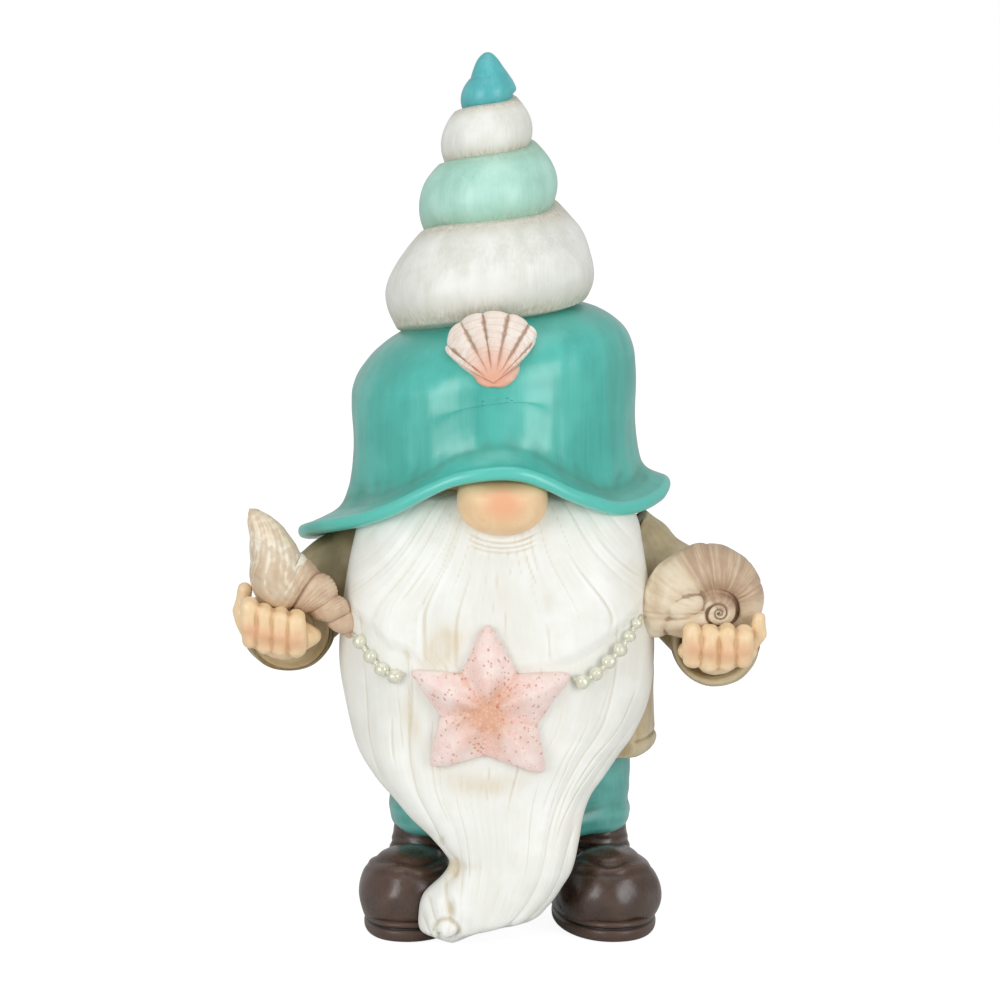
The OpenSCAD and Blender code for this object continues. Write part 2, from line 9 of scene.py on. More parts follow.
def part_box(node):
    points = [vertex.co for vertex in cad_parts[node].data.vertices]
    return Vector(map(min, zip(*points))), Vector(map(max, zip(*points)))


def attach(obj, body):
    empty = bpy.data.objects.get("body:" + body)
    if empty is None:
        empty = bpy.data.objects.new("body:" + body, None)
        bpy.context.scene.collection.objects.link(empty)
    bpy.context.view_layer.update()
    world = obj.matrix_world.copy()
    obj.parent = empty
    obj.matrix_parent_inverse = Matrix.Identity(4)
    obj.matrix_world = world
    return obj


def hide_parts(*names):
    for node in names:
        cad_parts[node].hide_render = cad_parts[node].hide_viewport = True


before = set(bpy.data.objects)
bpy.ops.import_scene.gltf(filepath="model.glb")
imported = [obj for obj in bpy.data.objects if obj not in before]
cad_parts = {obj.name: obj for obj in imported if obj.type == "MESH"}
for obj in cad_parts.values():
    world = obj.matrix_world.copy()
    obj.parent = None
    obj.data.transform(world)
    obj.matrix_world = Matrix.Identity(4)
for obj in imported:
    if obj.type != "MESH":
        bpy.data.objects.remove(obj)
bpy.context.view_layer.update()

MM = 0.001
TURN = 2 * math.pi
FINE = 1.0


# ---- places taken from the CAD parts, in millimetres ---------------------------------------------

def low(node):
    return np.array(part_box(node)[0]) / MM


def high(node):
    return np.array(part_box(node)[1]) / MM


def middle(node):
    return (low(node) + high(node)) / 2


ANKLE = low("trousers")[2]
HEM = low("jacket")[2]
BODY_X = middle("jacket")[0]
RIM = HEM + 86
SPIRE_FOOT = RIM + 62.8
HAT_X = middle("large_white_whorl")[0]
HAT_Y = middle("large_white_whorl")[1]
CROWN_RX = 48.25
CROWN_RY = 46.75
SHOULDER = RIM + 38.4
CROWN_TOP = RIM + 66
BEARD_X = -1.9
BEARD_HALF = 53.0
BEARD_TOP = RIM + 7
LANDING_Y = low("jacket")[1]
NOSE = middle("nose")
# Exponent of the squarish rounds of the crown and the beard
ROUND = 2.3
BEARD_FOOT = 1.6
# Share of the way round a coil of the spire that is its outer face, and how soon its ends close
COIL_FACE = 0.72
COIL_TUCK = 0.1
# What the camera aims at, its distance, half the width it sees there, and degrees above level
VIEW_AIM = (-0.85, 0, 143)
VIEW_DISTANCE = 1350
VIEW_HALF_WIDTH = 170
VIEW_LIFT = 7.6


# ---- arrays and curves ---------------------------------------------------------------------------

def soft(x, start, end):
    """0 before start, 1 after end, and a smooth rise between."""
    t = np.clip((x - start) / (end - start), 0, 1)
    return t * t * (3 - 2 * t)


def blend(a, b, t):
    return a + (b - a) * t


def hill(x, centre, width):
    return np.exp(-((x - centre) / width) ** 2)


def power(value, exponent):
    return np.sign(value) * np.abs(value) ** exponent


def full_round(t):
    """Height of a squarish round: 1 at its middle and 0 at its rim, where t is 1."""
    return (1 - t ** ROUND) ** (1 / ROUND)


def between(start, end, leave, arrive, s):
    """Smooth way from start to end that leaves and arrives at the given slopes."""
    return (start * (2 * s ** 3 - 3 * s ** 2 + 1) + leave * (s ** 3 - 2 * s ** 2 + s)
            + end * (3 * s ** 2 - 2 * s ** 3) + arrive * (s ** 3 - s ** 2))


def curve(x, rows):
    """Smooth curve through rows of (place, value), with places rising."""
    p, q = np.array(rows, float).T
    slope = np.empty_like(q)
    slope[1:-1] = (q[2:] - q[:-2]) / (p[2:] - p[:-2])
    slope[0] = (q[1] - q[0]) / (p[1] - p[0])
    slope[-1] = (q[-1] - q[-2]) / (p[-1] - p[-2])
    x = np.clip(x, p[0], p[-1])
    i = np.clip(np.searchsorted(p, x, side="right") - 1, 0, len(p) - 2)
    w = p[i + 1] - p[i]
    s = (x - p[i]) / w
    return between(q[i], q[i + 1], slope[i] * w, slope[i + 1] * w, s)


def round_curve(angle, rows):
    """Smooth curve through rows of (degrees, value) that closes on itself."""
    rows = list(rows)
    before = [(a - 360, v) for a, v in rows]
    after = [(a + 360, v) for a, v in rows]
    return curve(np.mod(angle, 360), before + rows + after)


def through(stops, rows):
    """Surface that passes smoothly through rows of curves, spaced by how far apart they lie."""
    rows = np.array(rows, float)
    gap = np.linalg.norm(np.diff(rows, axis=0), axis=-1)
    gap = gap.reshape(len(rows) - 1, -1).mean(axis=1) + 1e-6
    place = np.concatenate([[0], np.cumsum(gap)])
    place /= place[-1]
    shape = (-1,) + (1,) * (rows.ndim - 1)
    width = np.diff(place).reshape(shape)
    step = np.diff(rows, axis=0) / width
    slope = np.empty_like(rows)
    slope[1:-1] = (step[1:] * width[:-1] + step[:-1] * width[1:]) / (width[1:] + width[:-1])
    slope[0] = step[0]
    slope[-1] = step[-1]
    i = np.clip(np.searchsorted(place, stops, side="right") - 1, 0, len(place) - 2)
    w = width.reshape(-1)[i].reshape(shape)
    s = ((stops - place[i]) / width.reshape(-1)[i]).reshape(shape)
    return between(rows[i], rows[i + 1], slope[i] * w, slope[i + 1] * w, s)


def lumps(points, size, seed):
    """Gentle hand-made unevenness, about -1 to 1, with bumps of the given size."""
    rng = np.random.default_rng(seed)
    total = np.zeros(points.shape[:-1])
    reach = 1.0
    for octave in range(2):
        for _ in range(6):
            way = rng.normal(size=3)
            way *= TURN / (size * 2) * 2 ** octave / np.linalg.norm(way) * rng.uniform(0.7, 1.3)
            total += reach * 0.41 * np.sin(points @ way + rng.uniform(0, TURN))
        reach *= 0.5
    return total


def place(x, y, z):
    return np.stack(np.broadcast_arrays(x, y, z), axis=-1).astype(float)


def outward(points):
    """Unit normals of a closed grid of points, away from its middle."""
    n = np.cross(np.gradient(points, axis=0), np.gradient(points, axis=1))
    if (n * (points - points.mean(axis=(0, 1)))).sum() < 0:
        n = -n
    return n / (np.linalg.norm(n, axis=-1, keepdims=True) + 1e-9)


def raise_by(points, height):
    """Move a grid of points out along its normals."""
    return points + outward(points) * np.asarray(height)[..., None]


def stops(count):
    return np.linspace(0, 1, max(int(count * FINE), 8) + 1)


# ---- meshes --------------------------------------------------------------------------------------

def keep(mesh, mark, values):
    """Keep a number at each point of a mesh, for its paint."""
    layer = mesh.attributes.new(mark, "FLOAT", "POINT")
    layer.data.foreach_set("value", values.astype(np.float32))


def show(name, data):
    """Object for a mesh, a lamp or a camera, put in the scene."""
    thing = bpy.data.objects.new(name, data)
    bpy.context.scene.collection.objects.link(thing)
    return thing


def skin(name, points, marks=None):
    """Closed mesh from a grid of points in mm; marks are numbers kept at each point."""
    rows, columns = points.shape[:2]
    bm = bmesh.new()
    bmesh.ops.create_grid(bm, x_segments=columns - 1, y_segments=rows - 1, size=1)
    mesh = bpy.data.meshes.new(name)
    bm.to_mesh(mesh)
    flat = np.empty(len(mesh.vertices) * 3)
    mesh.vertices.foreach_get("co", flat)
    grid = flat.reshape(-1, 3)
    i = np.rint((grid[:, 1] + 1) / 2 * (rows - 1)).astype(int)
    j = np.rint((grid[:, 0] + 1) / 2 * (columns - 1)).astype(int)
    mesh.vertices.foreach_set("co", (points[i, j] * MM).ravel())
    for mark, values in (marks or {}).items():
        keep(mesh, mark, np.broadcast_to(values, (rows, columns))[i, j])
    bm.clear()
    bm.from_mesh(mesh)
    bmesh.ops.remove_doubles(bm, verts=bm.verts, dist=0.012 * MM)
    bmesh.ops.recalc_face_normals(bm, faces=bm.faces)
    bm.to_mesh(mesh)
    bm.free()
    return mesh


def remeshed(name, build, grain, rounds):
    """One skin round overlapping forms: build adds them to a bmesh in mm, grain is the mesh size."""
    bm = bmesh.new()
    build(bm)
    bmesh.ops.scale(bm, vec=(MM, MM, MM), verts=bm.verts)
    rough = bpy.data.meshes.new(name + "_rough")
    bm.to_mesh(rough)
    bm.free()
    holder = show(name + "_rough", rough)
    wrap = holder.modifiers.new("wrap", "REMESH")
    wrap.mode = "VOXEL"
    wrap.voxel_size = grain / FINE * MM
    relax = holder.modifiers.new("relax", "SMOOTH")
    relax.factor = 0.5
    relax.iterations = rounds
    mesh = bpy.data.meshes.new_from_object(holder.evaluated_get(bpy.context.evaluated_depsgraph_get()))
    mesh.name = name
    bpy.data.objects.remove(holder)
    bpy.data.meshes.remove(rough)
    return mesh


def joined(name, parts):
    """One mesh from several closed ones that overlap."""
    bm = bmesh.new()
    for part in parts:
        bm.from_mesh(part)
        bpy.data.meshes.remove(part)
    mesh = bpy.data.meshes.new(name)
    bm.to_mesh(mesh)
    bm.free()
    return mesh


def points_of(mesh):
    flat = np.empty(len(mesh.vertices) * 3)
    mesh.vertices.foreach_get("co", flat)
    return flat.reshape(-1, 3) / MM


def normals_of(mesh):
    flat = np.empty(len(mesh.vertices) * 3)
    mesh.vertices.foreach_get("normal", flat)
    return flat.reshape(-1, 3)


def push(mesh, height):
    """Move the points of a finished mesh along their normals by heights in mm."""
    moved = points_of(mesh) + normals_of(mesh) * np.asarray(height)[:, None]
    mesh.vertices.foreach_set("co", (moved * MM).ravel())
    mesh.update()


def mark_hollows(mesh, name, reach):
    """Keep how hollow the surface is over a reach in mm: 1 in a groove, -1 on a ridge."""
    points = points_of(mesh)
    count = len(points)
    ends = np.empty(len(mesh.edges) * 2, dtype=np.int32)
    mesh.edges.foreach_get("vertices", ends)
    a, b = ends.reshape(-1, 2).T
    edge = np.median(np.linalg.norm(points[a] - points[b], axis=1))
    degree = np.bincount(a, minlength=count) + np.bincount(b, minlength=count)
    settled = points.copy()
    for _ in range(int(np.clip((reach / edge) ** 2, 3, 40))):
        total = np.empty_like(settled)
        for k in range(3):
            total[:, k] = (np.bincount(a, settled[b, k], count) + np.bincount(b, settled[a, k], count))
        settled = total / np.maximum(degree, 1)[:, None]
    depth = ((settled - points) * normals_of(mesh)).sum(axis=1) / (0.1 * reach)
    keep(mesh, name, np.clip(depth, -1, 1))


def cast(mesh, finish, node):
    """Finish a piece: smooth faces, hollow marks for wash, painted shade and highlight, material, and its
    place in the frame.
    """
    mesh.polygons.foreach_set("use_smooth", [True] * len(mesh.polygons))
    mesh.update()
    mark_hollows(mesh, "groove", 1.2)
    mark_hollows(mesh, "valley", 4.0)
    piece = show(mesh.name, mesh)
    mesh.materials.clear()
    mesh.materials.append(finish)
    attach(piece, "root")
    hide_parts(node)


# ---- paint ---------------------------------------------------------------------------------------

def rgb(red, green, blue):
    """Linear colour from the red, green and blue of a paint chart, 0 to 255."""
    parts = [c / 255 for c in (red, green, blue)]
    return tuple(c / 12.92 if c <= 0.04045 else ((c + 0.055) / 1.055) ** 2.4 for c in parts) + (1.0,)


class Wire:
    """A socket that takes part in sums."""

    def __init__(self, paint, socket):
        self.paint = paint
        self.socket = socket

    def maths(self, operation, *others):
        return self.paint.node("ShaderNodeMath", {"operation": operation}, [self, *others])

    def __add__(self, other):
        return self.maths("ADD", other)

    def __radd__(self, other):
        return self.maths("ADD", other)

    def __sub__(self, other):
        return self.maths("SUBTRACT", other)

    def __rsub__(self, other):
        return self.paint.node("ShaderNodeMath", {"operation": "SUBTRACT"}, [other, self])

    def __mul__(self, other):
        return self.maths("MULTIPLY", other)

    def __truediv__(self, other):
        return self.maths("DIVIDE", other)

    def clip(self):
        return self.paint.node("ShaderNodeClamp", {}, [self, 0.0, 1.0])

    def step(self, start, end):
        """0 before start, 1 after end, smooth between."""
        return self.paint.node("ShaderNodeMapRange", {"interpolation_type": "SMOOTHSTEP"},
                               [self, start, end, 0.0, 1.0])


class Paint:
    """A painted finish made of nodes."""

    def __init__(self, name, roughness, coat, metallic):
        self.material = bpy.data.materials.new(name)
        self.material.use_nodes = True
        self.tree = self.material.node_tree
        self.tree.nodes.clear()
        self.shader = self.tree.nodes.new("ShaderNodeBsdfPrincipled")
        end = self.tree.nodes.new("ShaderNodeOutputMaterial")
        self.tree.links.new(self.shader.outputs["BSDF"], end.inputs["Surface"])
        self.shader.inputs["Roughness"].default_value = roughness
        self.shader.inputs["Metallic"].default_value = metallic
        self.shader.inputs["Coat Weight"].default_value = coat
        self.shader.inputs["Coat Roughness"].default_value = 0.28
        self.shader.inputs["Specular IOR Level"].default_value = 0.45
        self.place = self.node("ShaderNodeTexCoord", {}, [], "Object")

    def node(self, kind, settings, sockets, out=0):
        """Any node: its kind, its settings, the values or links of its sockets, and what it gives."""
        made = self.tree.nodes.new(kind)
        for key, value in settings.items():
            setattr(made, key, value)
        entries = sockets.items() if isinstance(sockets, dict) else enumerate(sockets)
        for key, value in entries:
            if isinstance(value, Wire):
                self.tree.links.new(value.socket, made.inputs[key])
            else:
                made.inputs[key].default_value = value
        return Wire(self, made.outputs[out])

    def feed(self, socket, wire):
        self.tree.links.new(wire.socket, self.shader.inputs[socket])

    def mark(self, name):
        return self.node("ShaderNodeAttribute", {"attribute_name": name}, [], "Fac")

    def scaled(self, vector, x, y, z):
        return self.node("ShaderNodeVectorMath", {"operation": "MULTIPLY"}, [vector, (x, y, z)])

    def noise(self, vector, size, detail=3.0, rough=0.55):
        """Cloudy pattern, 0 to 1, with patches of a size in mm."""
        return self.node("ShaderNodeTexNoise", {}, {"Vector": vector, "Scale": 1 / (size * MM),
                                                    "Detail": detail, "Roughness": rough})

    def cells(self, vector, size, feature="F1", randomness=1.0):
        return self.node("ShaderNodeTexVoronoi", {"feature": feature},
                         {"Vector": vector, "Scale": 1 / (size * MM), "Randomness": randomness}, "Distance")

    def mix(self, factor, a, b):
        """Blend of two colours."""
        return self.node("ShaderNodeMix", {"data_type": "RGBA"}, {0: factor, 6: a, 7: b}, 2)

    def part(self, vector, axis):
        return self.node("ShaderNodeSeparateXYZ", {}, [vector], axis)

    def vector(self, x, y, z):
        return self.node("ShaderNodeCombineXYZ", {}, [x, y, z])

    def distance(self, spot, stretch):
        """Distance in mm from a spot in mm, with each direction weighed."""
        way = self.node("ShaderNodeVectorMath", {"operation": "SUBTRACT"},
                        [self.place, tuple(np.array(spot) * MM)])
        return self.node("ShaderNodeVectorMath", {"operation": "LENGTH"},
                         [self.scaled(way, *stretch)], "Value") / MM

    def bump(self, height, depth):
        """Relief from a height of 0 to 1, standing depth mm proud."""
        self.feed("Normal", self.node("ShaderNodeBump", {}, {"Height": height, "Distance": depth * MM,
                                                             "Strength": 1.0}, "Normal"))


def brushed(name, base, light, dark, wash_and_shade_colour, wash_and_shade_amount=0.8, streak=1.3, gloss=0.42, coat=0.0,
            relief=0.12, patch=14.0, edge=0.25, seam=False, run=9.0, flow=False, metal=0.0, extra=None):
    """Hand-brushed paint: streaks that run down, cloudy patches, wash and painted shade in hollows, painted
    highlight on ridges.
    """
    p = Paint(name, gloss, coat, metal)
    if flow:
        along = p.vector(p.mark("flow") * MM, p.mark("along") * MM / run, 0.0)
    else:
        along = p.scaled(p.place, 1.0, 1.0, 1 / run)
    streaks = p.noise(along, streak, 4.0, 0.6)
    broad = p.noise(along, streak * 5, 2.0)
    cloud = p.noise(p.place, patch, 3.0)
    grain = p.noise(p.place, 0.6, 2.0)
    groove = p.mark("groove")
    valley = p.mark("valley")
    colour = p.mix((streaks * 0.6 + broad * 0.5 - 0.05).step(0.3, 0.75), dark, base)
    colour = p.mix(cloud.step(0.42, 0.72) * 0.6, colour, light)
    # Ridges take the light colour by the share edge: a painted highlight.
    colour = p.mix((0 - groove).step(0.15, 0.8) * edge, colour, light)
    # Grooves, valleys and seams darken to the wash colour: partly the paint's dark wash and drips, partly
    # painted shade.
    hollow_wash_and_shade = (groove.step(0.12, 0.75) * 0.85 + valley.step(0.1, 0.8) * 0.5) * (0.35 + streaks * 1.1)
    if seam:
        near = p.mark("seam")
        hollow_wash_and_shade = hollow_wash_and_shade + near * (streaks - 0.25).clip() * 2.2 * (0.4 + cloud)
    colour = p.mix((hollow_wash_and_shade * wash_and_shade_amount).clip(), colour, wash_and_shade_colour)
    if extra:
        colour = extra(p, colour, streaks, cloud, grain)
    p.feed("Base Color", colour)
    p.feed("Roughness", (streaks * 0.22 + (gloss - 0.1) + groove.step(0.0, 0.8) * 0.15).clip())
    p.bump(streaks * 0.7 + broad * 0.5 + grain * 0.18, relief)
    return p.material


# ---- the coiled spire ----------------------------------------------------------------------------

# One seam winds up the whole spire. A turn of 0 is at the gnome's right side, 0.25 at the front.
SEAM_HEIGHTS = [(-1, 172), (0, 201.2), (1, 234.1), (2, 256.6), (3, 274.4), (4, 285.2), (5, 290.6), (6, 293)]
COIL_RADII = [(-1, 38), (0, 36.2), (1, 25.3), (2, 16.4), (3, 9.6), (4, 6.0), (5, 3.4), (6, 2)]
# Height and radius of the smooth point that closes the spire
SPIRE_POINT = [(276, 0.5), (279, 5.0), (281.5, 7.8), (284, 7.5), (286.5, 6.5), (289, 5.2), (291.2, 3.9),
               (293.0, 2.4), (294.0, 1.1), (294.25, 0.05)]


def seam_height(turn):
    """Height of the seam: it climbs faster on the gnome's left than at its right."""
    climb = curve(turn + 0.5, SEAM_HEIGHTS) - curve(turn - 0.5, SEAM_HEIGHTS)
    return curve(turn, SEAM_HEIGHTS) - 0.07 * climb * (1 - np.cos(TURN * turn))


def coil_radius(turn):
    drop = curve(turn + 0.5, COIL_RADII) - curve(turn - 0.5, COIL_RADII)
    return curve(turn, COIL_RADII) - 0.125 * drop * (1 - np.cos(TURN * turn))


def spire_coil(name, start, end, seed):
    """One painted length of the coil, closed at both ends, with a plump outer face."""
    along = stops(int(190 * (end - start)))
    turn = start + (end - start) * along[:, None]
    around = stops(96)[None, :]
    q = -0.1 + 1.18 * np.clip(around / COIL_FACE, 0, 1)
    radius = coil_radius(turn)
    low_z = seam_height(turn)
    rise = seam_height(turn + 1) - low_z
    sunk = 1 - 0.3 * soft(turn, 3.7, 4.15)
    plump = 1 - 0.757 * (q - 0.35) ** 2 - 1.9 * np.clip(-q, 0, 1) - 3.2 * np.clip(q - 1, 0, 1)
    outer = radius * sunk * plump
    inner = radius * 0.27
    r = blend(outer, inner, soft(around, 0.7, 0.78) * soft(-around, -1.0, -0.94))
    height = np.where(around < COIL_FACE, q, blend(1.08, -0.1, soft(around, COIL_FACE, 1.0)))
    z = low_z + rise * height
    close = np.minimum(along, 1 - along)[:, None] * (end - start) * TURN
    cap = np.sqrt(np.clip(1 - (1 - np.clip(close / COIL_TUCK, 0, 1)) ** 2, 0, 1))
    middle_r = radius * 0.6
    middle_z = low_z + rise * 0.48
    r = middle_r + (r - middle_r) * cap
    z = middle_z + (z - middle_z) * cap
    angle = math.pi + TURN * turn
    axis = HAT_X - 0.022 * (z - SPIRE_FOOT)
    points = place(axis + r * np.cos(angle), HAT_Y + r * np.sin(angle), z)
    scale = radius / 30 * cap
    bumps = lumps(points, 22, seed) * 0.55 + lumps(points * np.array([1, 1, 0.2]), 4.5, seed + 1) * 0.07
    points = points + np.stack([np.cos(angle) * bumps * scale, np.sin(angle) * bumps * scale,
                                0 * bumps], axis=-1)
    near = np.maximum(hill(q, -0.02, 0.2), hill(q, 1.0, 0.1) * 0.8) * (around < COIL_FACE)
    return skin(name, points, {"seam": near})


def spire_point():
    """Smooth leaning point above the last turn of the coil."""
    along = stops(60)[:, None]
    heights, radii = np.array(SPIRE_POINT).T
    z = curve(along, np.stack([np.linspace(0, 1, len(heights)), heights], axis=1))
    r = curve(along, np.stack([np.linspace(0, 1, len(radii)), radii], axis=1))
    angle = TURN * stops(90)[None, :]
    axis = HAT_X - 0.022 * (z - SPIRE_FOOT) + 1.3 * (1 - soft(z, 281, 292))
    points = place(axis + r * np.cos(angle), HAT_Y + r * np.sin(angle), z)
    points = raise_by(points, lumps(points, 6, 15) * 0.1)
    return skin("spire_point", points, {"seam": 0.0 * z})


def build_spire():
    white = brushed("washed_white_spire", rgb(233, 235, 229), rgb(243, 244, 240), rgb(216, 217, 207),
                    rgb(172, 150, 108), wash_and_shade_amount=1.0, streak=0.9, gloss=0.42, coat=0.12,
                    relief=0.16, seam=True, run=16)
    mint = brushed("soft_mint_spire", rgb(176, 224, 208), rgb(193, 234, 221), rgb(158, 207, 190),
                   rgb(140, 150, 106), wash_and_shade_amount=0.7, streak=0.9, gloss=0.4, coat=0.2,
                   relief=0.14, seam=True, run=14)
    tip = brushed("sea_blue_spire_tip", rgb(76, 180, 184), rgb(112, 204, 204), rgb(58, 160, 166),
                  rgb(40, 112, 116), wash_and_shade_amount=0.6, streak=0.9, gloss=0.34, coat=0.35, relief=0.12,
                  seam=True, run=8)
    cast(spire_coil("large_white_whorl_coil", -0.4, 0.75, 11), white, "large_white_whorl")
    cast(spire_coil("mint_whorl_coil", 0.75, 1.75, 12), mint, "mint_whorl")
    cast(spire_coil("small_white_whorl_coil", 1.75, 2.75, 13), white, "small_white_whorl")
    both = joined("teal_spire_tip_coil", [spire_coil("tip_coil", 2.75, 4.2, 14), spire_point()])
    cast(both, tip, "teal_spire_tip")


# ---- the hat -------------------------------------------------------------------------------------

BRIM_EDGE = [(0, 147.6), (45, 144.5), (90, 141), (120, 137), (150, 130), (165, 128.4), (180, 130.6),
             (195, 134.2), (210, 137.4), (222, 140.2), (234, 144.6), (246, 150.6), (257, 155.3), (270, 157.2),
             (279, 156.6), (288, 153.8), (297, 149.8), (309, 145.6), (317, 143.5), (327, 143.2), (342, 144.8)]
BRIM_REACH = [(0, 10.5), (30, 9), (60, 8), (90, 10), (120, 10.5), (150, 13), (170, 17), (180, 17.5),
              (190, 16.5), (210, 12.5), (240, 8.5), (270, 8.4), (300, 8), (330, 9), (345, 10.5)]


def crown_share(z):
    """How wide the crown still is at a height over its shoulder."""
    return full_round(np.clip((z - SHOULDER) / (CROWN_TOP - SHOULDER), 0, 1))


def crown_lean(x, z):
    rise = np.clip((z - RIM - 8) / (SHOULDER - RIM), 0, 1)
    return math.tan(math.radians(8.8)) * (x - HAT_X) * rise


def build_hat():
    """Bell-shaped crown and wavy brim in one skin, from the hollow inside, round the brim, to the top."""
    angle = stops(390) * TURN
    down = stops(250)
    degrees = np.degrees(angle)
    edge = round_curve(degrees, BRIM_EDGE)
    reach = round_curve(degrees, BRIM_REACH)
    span = reach * (0.54 + 0.34 * hill(degrees, 270, 42))
    wall = 4.6

    def ring(share, out, z):
        x = HAT_X + (share * CROWN_RX + out) * np.cos(angle)
        y = HAT_Y + (share * CROWN_RY + out) * np.sin(angle)
        return place(x, y, z + crown_lean(x, z))

    def level(z):
        return edge * 0 + z

    rows = [
        ring(0.1, 0, level(RIM + 34)),
        ring(0.6, 0, level(RIM + 33)),
        ring(0.95, -wall, level(RIM + 30)),
        ring(1, -wall, level(RIM + 22)),
        ring(1, -wall, edge + span + 8),
        ring(1, -4.2, edge + span * 0.8 + 1.0),
        ring(1, reach * 0.3 - 3.4, edge + span * 0.4 - 0.4),
        ring(1, reach * 0.66 - 2.2, edge + span * 0.12 - 0.9),
        ring(1, reach - 1.4, edge - 1.1),
        ring(1, reach + 0.2, edge - 0.4),
        ring(1, reach + 0.75, edge + 1.3),
        ring(1, reach + 0.1, edge + 3.0),
        ring(1, reach * 0.9 - 0.9, edge + 3.9),
        ring(1, reach * 0.6 - 0.5, edge + 3.2 + span * 0.3),
        ring(1, reach * 0.34, edge + 2.4 + span * 0.62),
        ring(1, reach * 0.17, edge + 1.8 + span),
        ring(1, reach * 0.06, edge + 1.4 + span * 1.55),
        ring(1, reach * 0.018, edge + 1.2 + span * 2.15),
        ring(1, 0, edge + 1 + span * 2.9),
        ring(1, 0, level(SHOULDER)),
    ]
    for t in (0.2, 0.4, 0.58, 0.73, 0.85, 0.94, 0.985, 1.0):
        z = blend(SHOULDER, CROWN_TOP, t)
        rows.append(ring(float(crown_share(np.array(z))), 0, level(z)))
    points = through(down, rows)
    x, z = points[..., 0], points[..., 2]
    over = z - edge[None, :]
    outer = soft(down, 0.36, 0.4)[:, None]
    dents = lumps(points, 30, 21) * 0.6 + lumps(points * np.array([1, 1, 0.12]), 5, 22) * 0.1
    dents = dents * blend(0.5, 1, soft(over, 5, 14))
    folds = 0.8 * hill(degrees[None, :] + 0.9 * over, 216, 6) * hill(over, 9, 6)
    folds += 0.6 * hill(degrees[None, :] + 1.1 * over, 197, 5) * hill(over, 8, 5)
    folds += 0.5 * hill(degrees[None, :] - 1.1 * over, 318, 6) * hill(over, 9, 6)
    away = np.stack([np.cos(angle)[None, :] + 0 * x, np.sin(angle)[None, :] + 0 * x, 0 * x], axis=-1)
    points = points + away * (outer * (dents - folds))[..., None]
    # edge lights the ridges, and the brim's lip most: a painted highlight.
    teal = brushed("glazed_teal_hat", rgb(66, 180, 166), rgb(84, 198, 184), rgb(56, 168, 154),
                   rgb(52, 116, 96), wash_and_shade_amount=0.45, streak=0.9, gloss=0.32, coat=0.85, relief=0.1,
                   patch=26, edge=0.9, run=26)
    cast(skin("hat_crown_and_brim", points), teal, "hat")


# ---- the nose ------------------------------------------------------------------------------------

def build_nose():
    """Wide round nose, a little flat on top where the brim rests on it."""
    around = stops(150) * TURN
    down = stops(90) * math.pi
    u, v = np.meshgrid(down, around, indexing="ij")
    size = (high("nose") - low("nose")) / 2
    x = power(np.sin(u), 0.92) * power(np.cos(v), 0.95) * size[0]
    y = power(np.sin(u), 0.92) * power(np.sin(v), 0.95) * size[1]
    z = power(np.cos(u), 0.9) * size[2]
    z = z * blend(1, 0.9, soft(z, 0, 8))
    y = y + 9.5 * soft(z, 0.5, 11) * np.clip(-y / size[1] + 0.1, 0, 1)
    points = place(x, y, z) + NOSE
    points = raise_by(points, (lumps(points, 13, 31) * 0.22) * np.sin(u))

    def blush_and_shade(p, colour, streaks, cloud, grain):
        away = p.distance(NOSE + np.array([0.5, -12, -0.5]), (1.0, 0.5, 1.25))
        colour = p.mix(((away + cloud * 4 - 2) * -1).step(-10.5, -1.5) * 0.7, colour, rgb(238, 166, 126))
        height = p.part(p.place, 2) / MM
        # The top of the nose, under the brim, darkens: painted shade under the brim.
        shade_and_stain = (height + cloud * 5).step(NOSE[2] + 4.5, NOSE[2] + 9.5)
        return p.mix(shade_and_stain * (streaks * 0.9 + 0.2) * 0.75, colour, rgb(172, 148, 100))

    finish = brushed("warm_skin_nose", rgb(240, 205, 160), rgb(244, 214, 174), rgb(232, 194, 147),
                     rgb(166, 128, 84), streak=2.2, gloss=0.4, coat=0.2, relief=0.08, patch=8, run=2,
                     extra=blush_and_shade)
    cast(skin("nose_ball", points), finish, "nose")


# ---- the scallop on the hat ----------------------------------------------------------------------

SCALLOP_HINGE = (-2.9, 187.8)
SCALLOP_GROOVES = [-54, -30, -9.5, 13, 32.5, 46]
# Degrees from upright and distance of its edge from the hinge; the short ones are the ears
SCALLOP_REACH = [(-180, 1.7), (-150, 2.0), (-115, 3.6), (-90, 5.8), (-76, 7.0), (-69, 9.4), (-64, 14.6),
                 (-59, 18.0), (-53, 19.4), (-40, 21.4), (-24, 22.1), (-4, 22.3), (13, 22.4), (31, 21.9),
                 (41, 20.8), (47, 18.6), (51, 14.6), (55, 11.0), (63, 9.6), (78, 7.6), (95, 5.4), (115, 3.6),
                 (150, 2.0), (180, 1.7)]


def crown_front(x, z):
    """Front of the hat's crown at a place across it and a height."""
    top = SHOULDER + 0.66 * (CROWN_TOP - SHOULDER)
    level = top - 3 * np.log1p(np.exp((top - z) / 3)) - crown_lean(x, z)
    share = crown_share(level)
    t = np.clip((x - HAT_X) / (CROWN_RX * share), -1, 1)
    return HAT_Y - CROWN_RY * share * np.sqrt(1 - t * t)


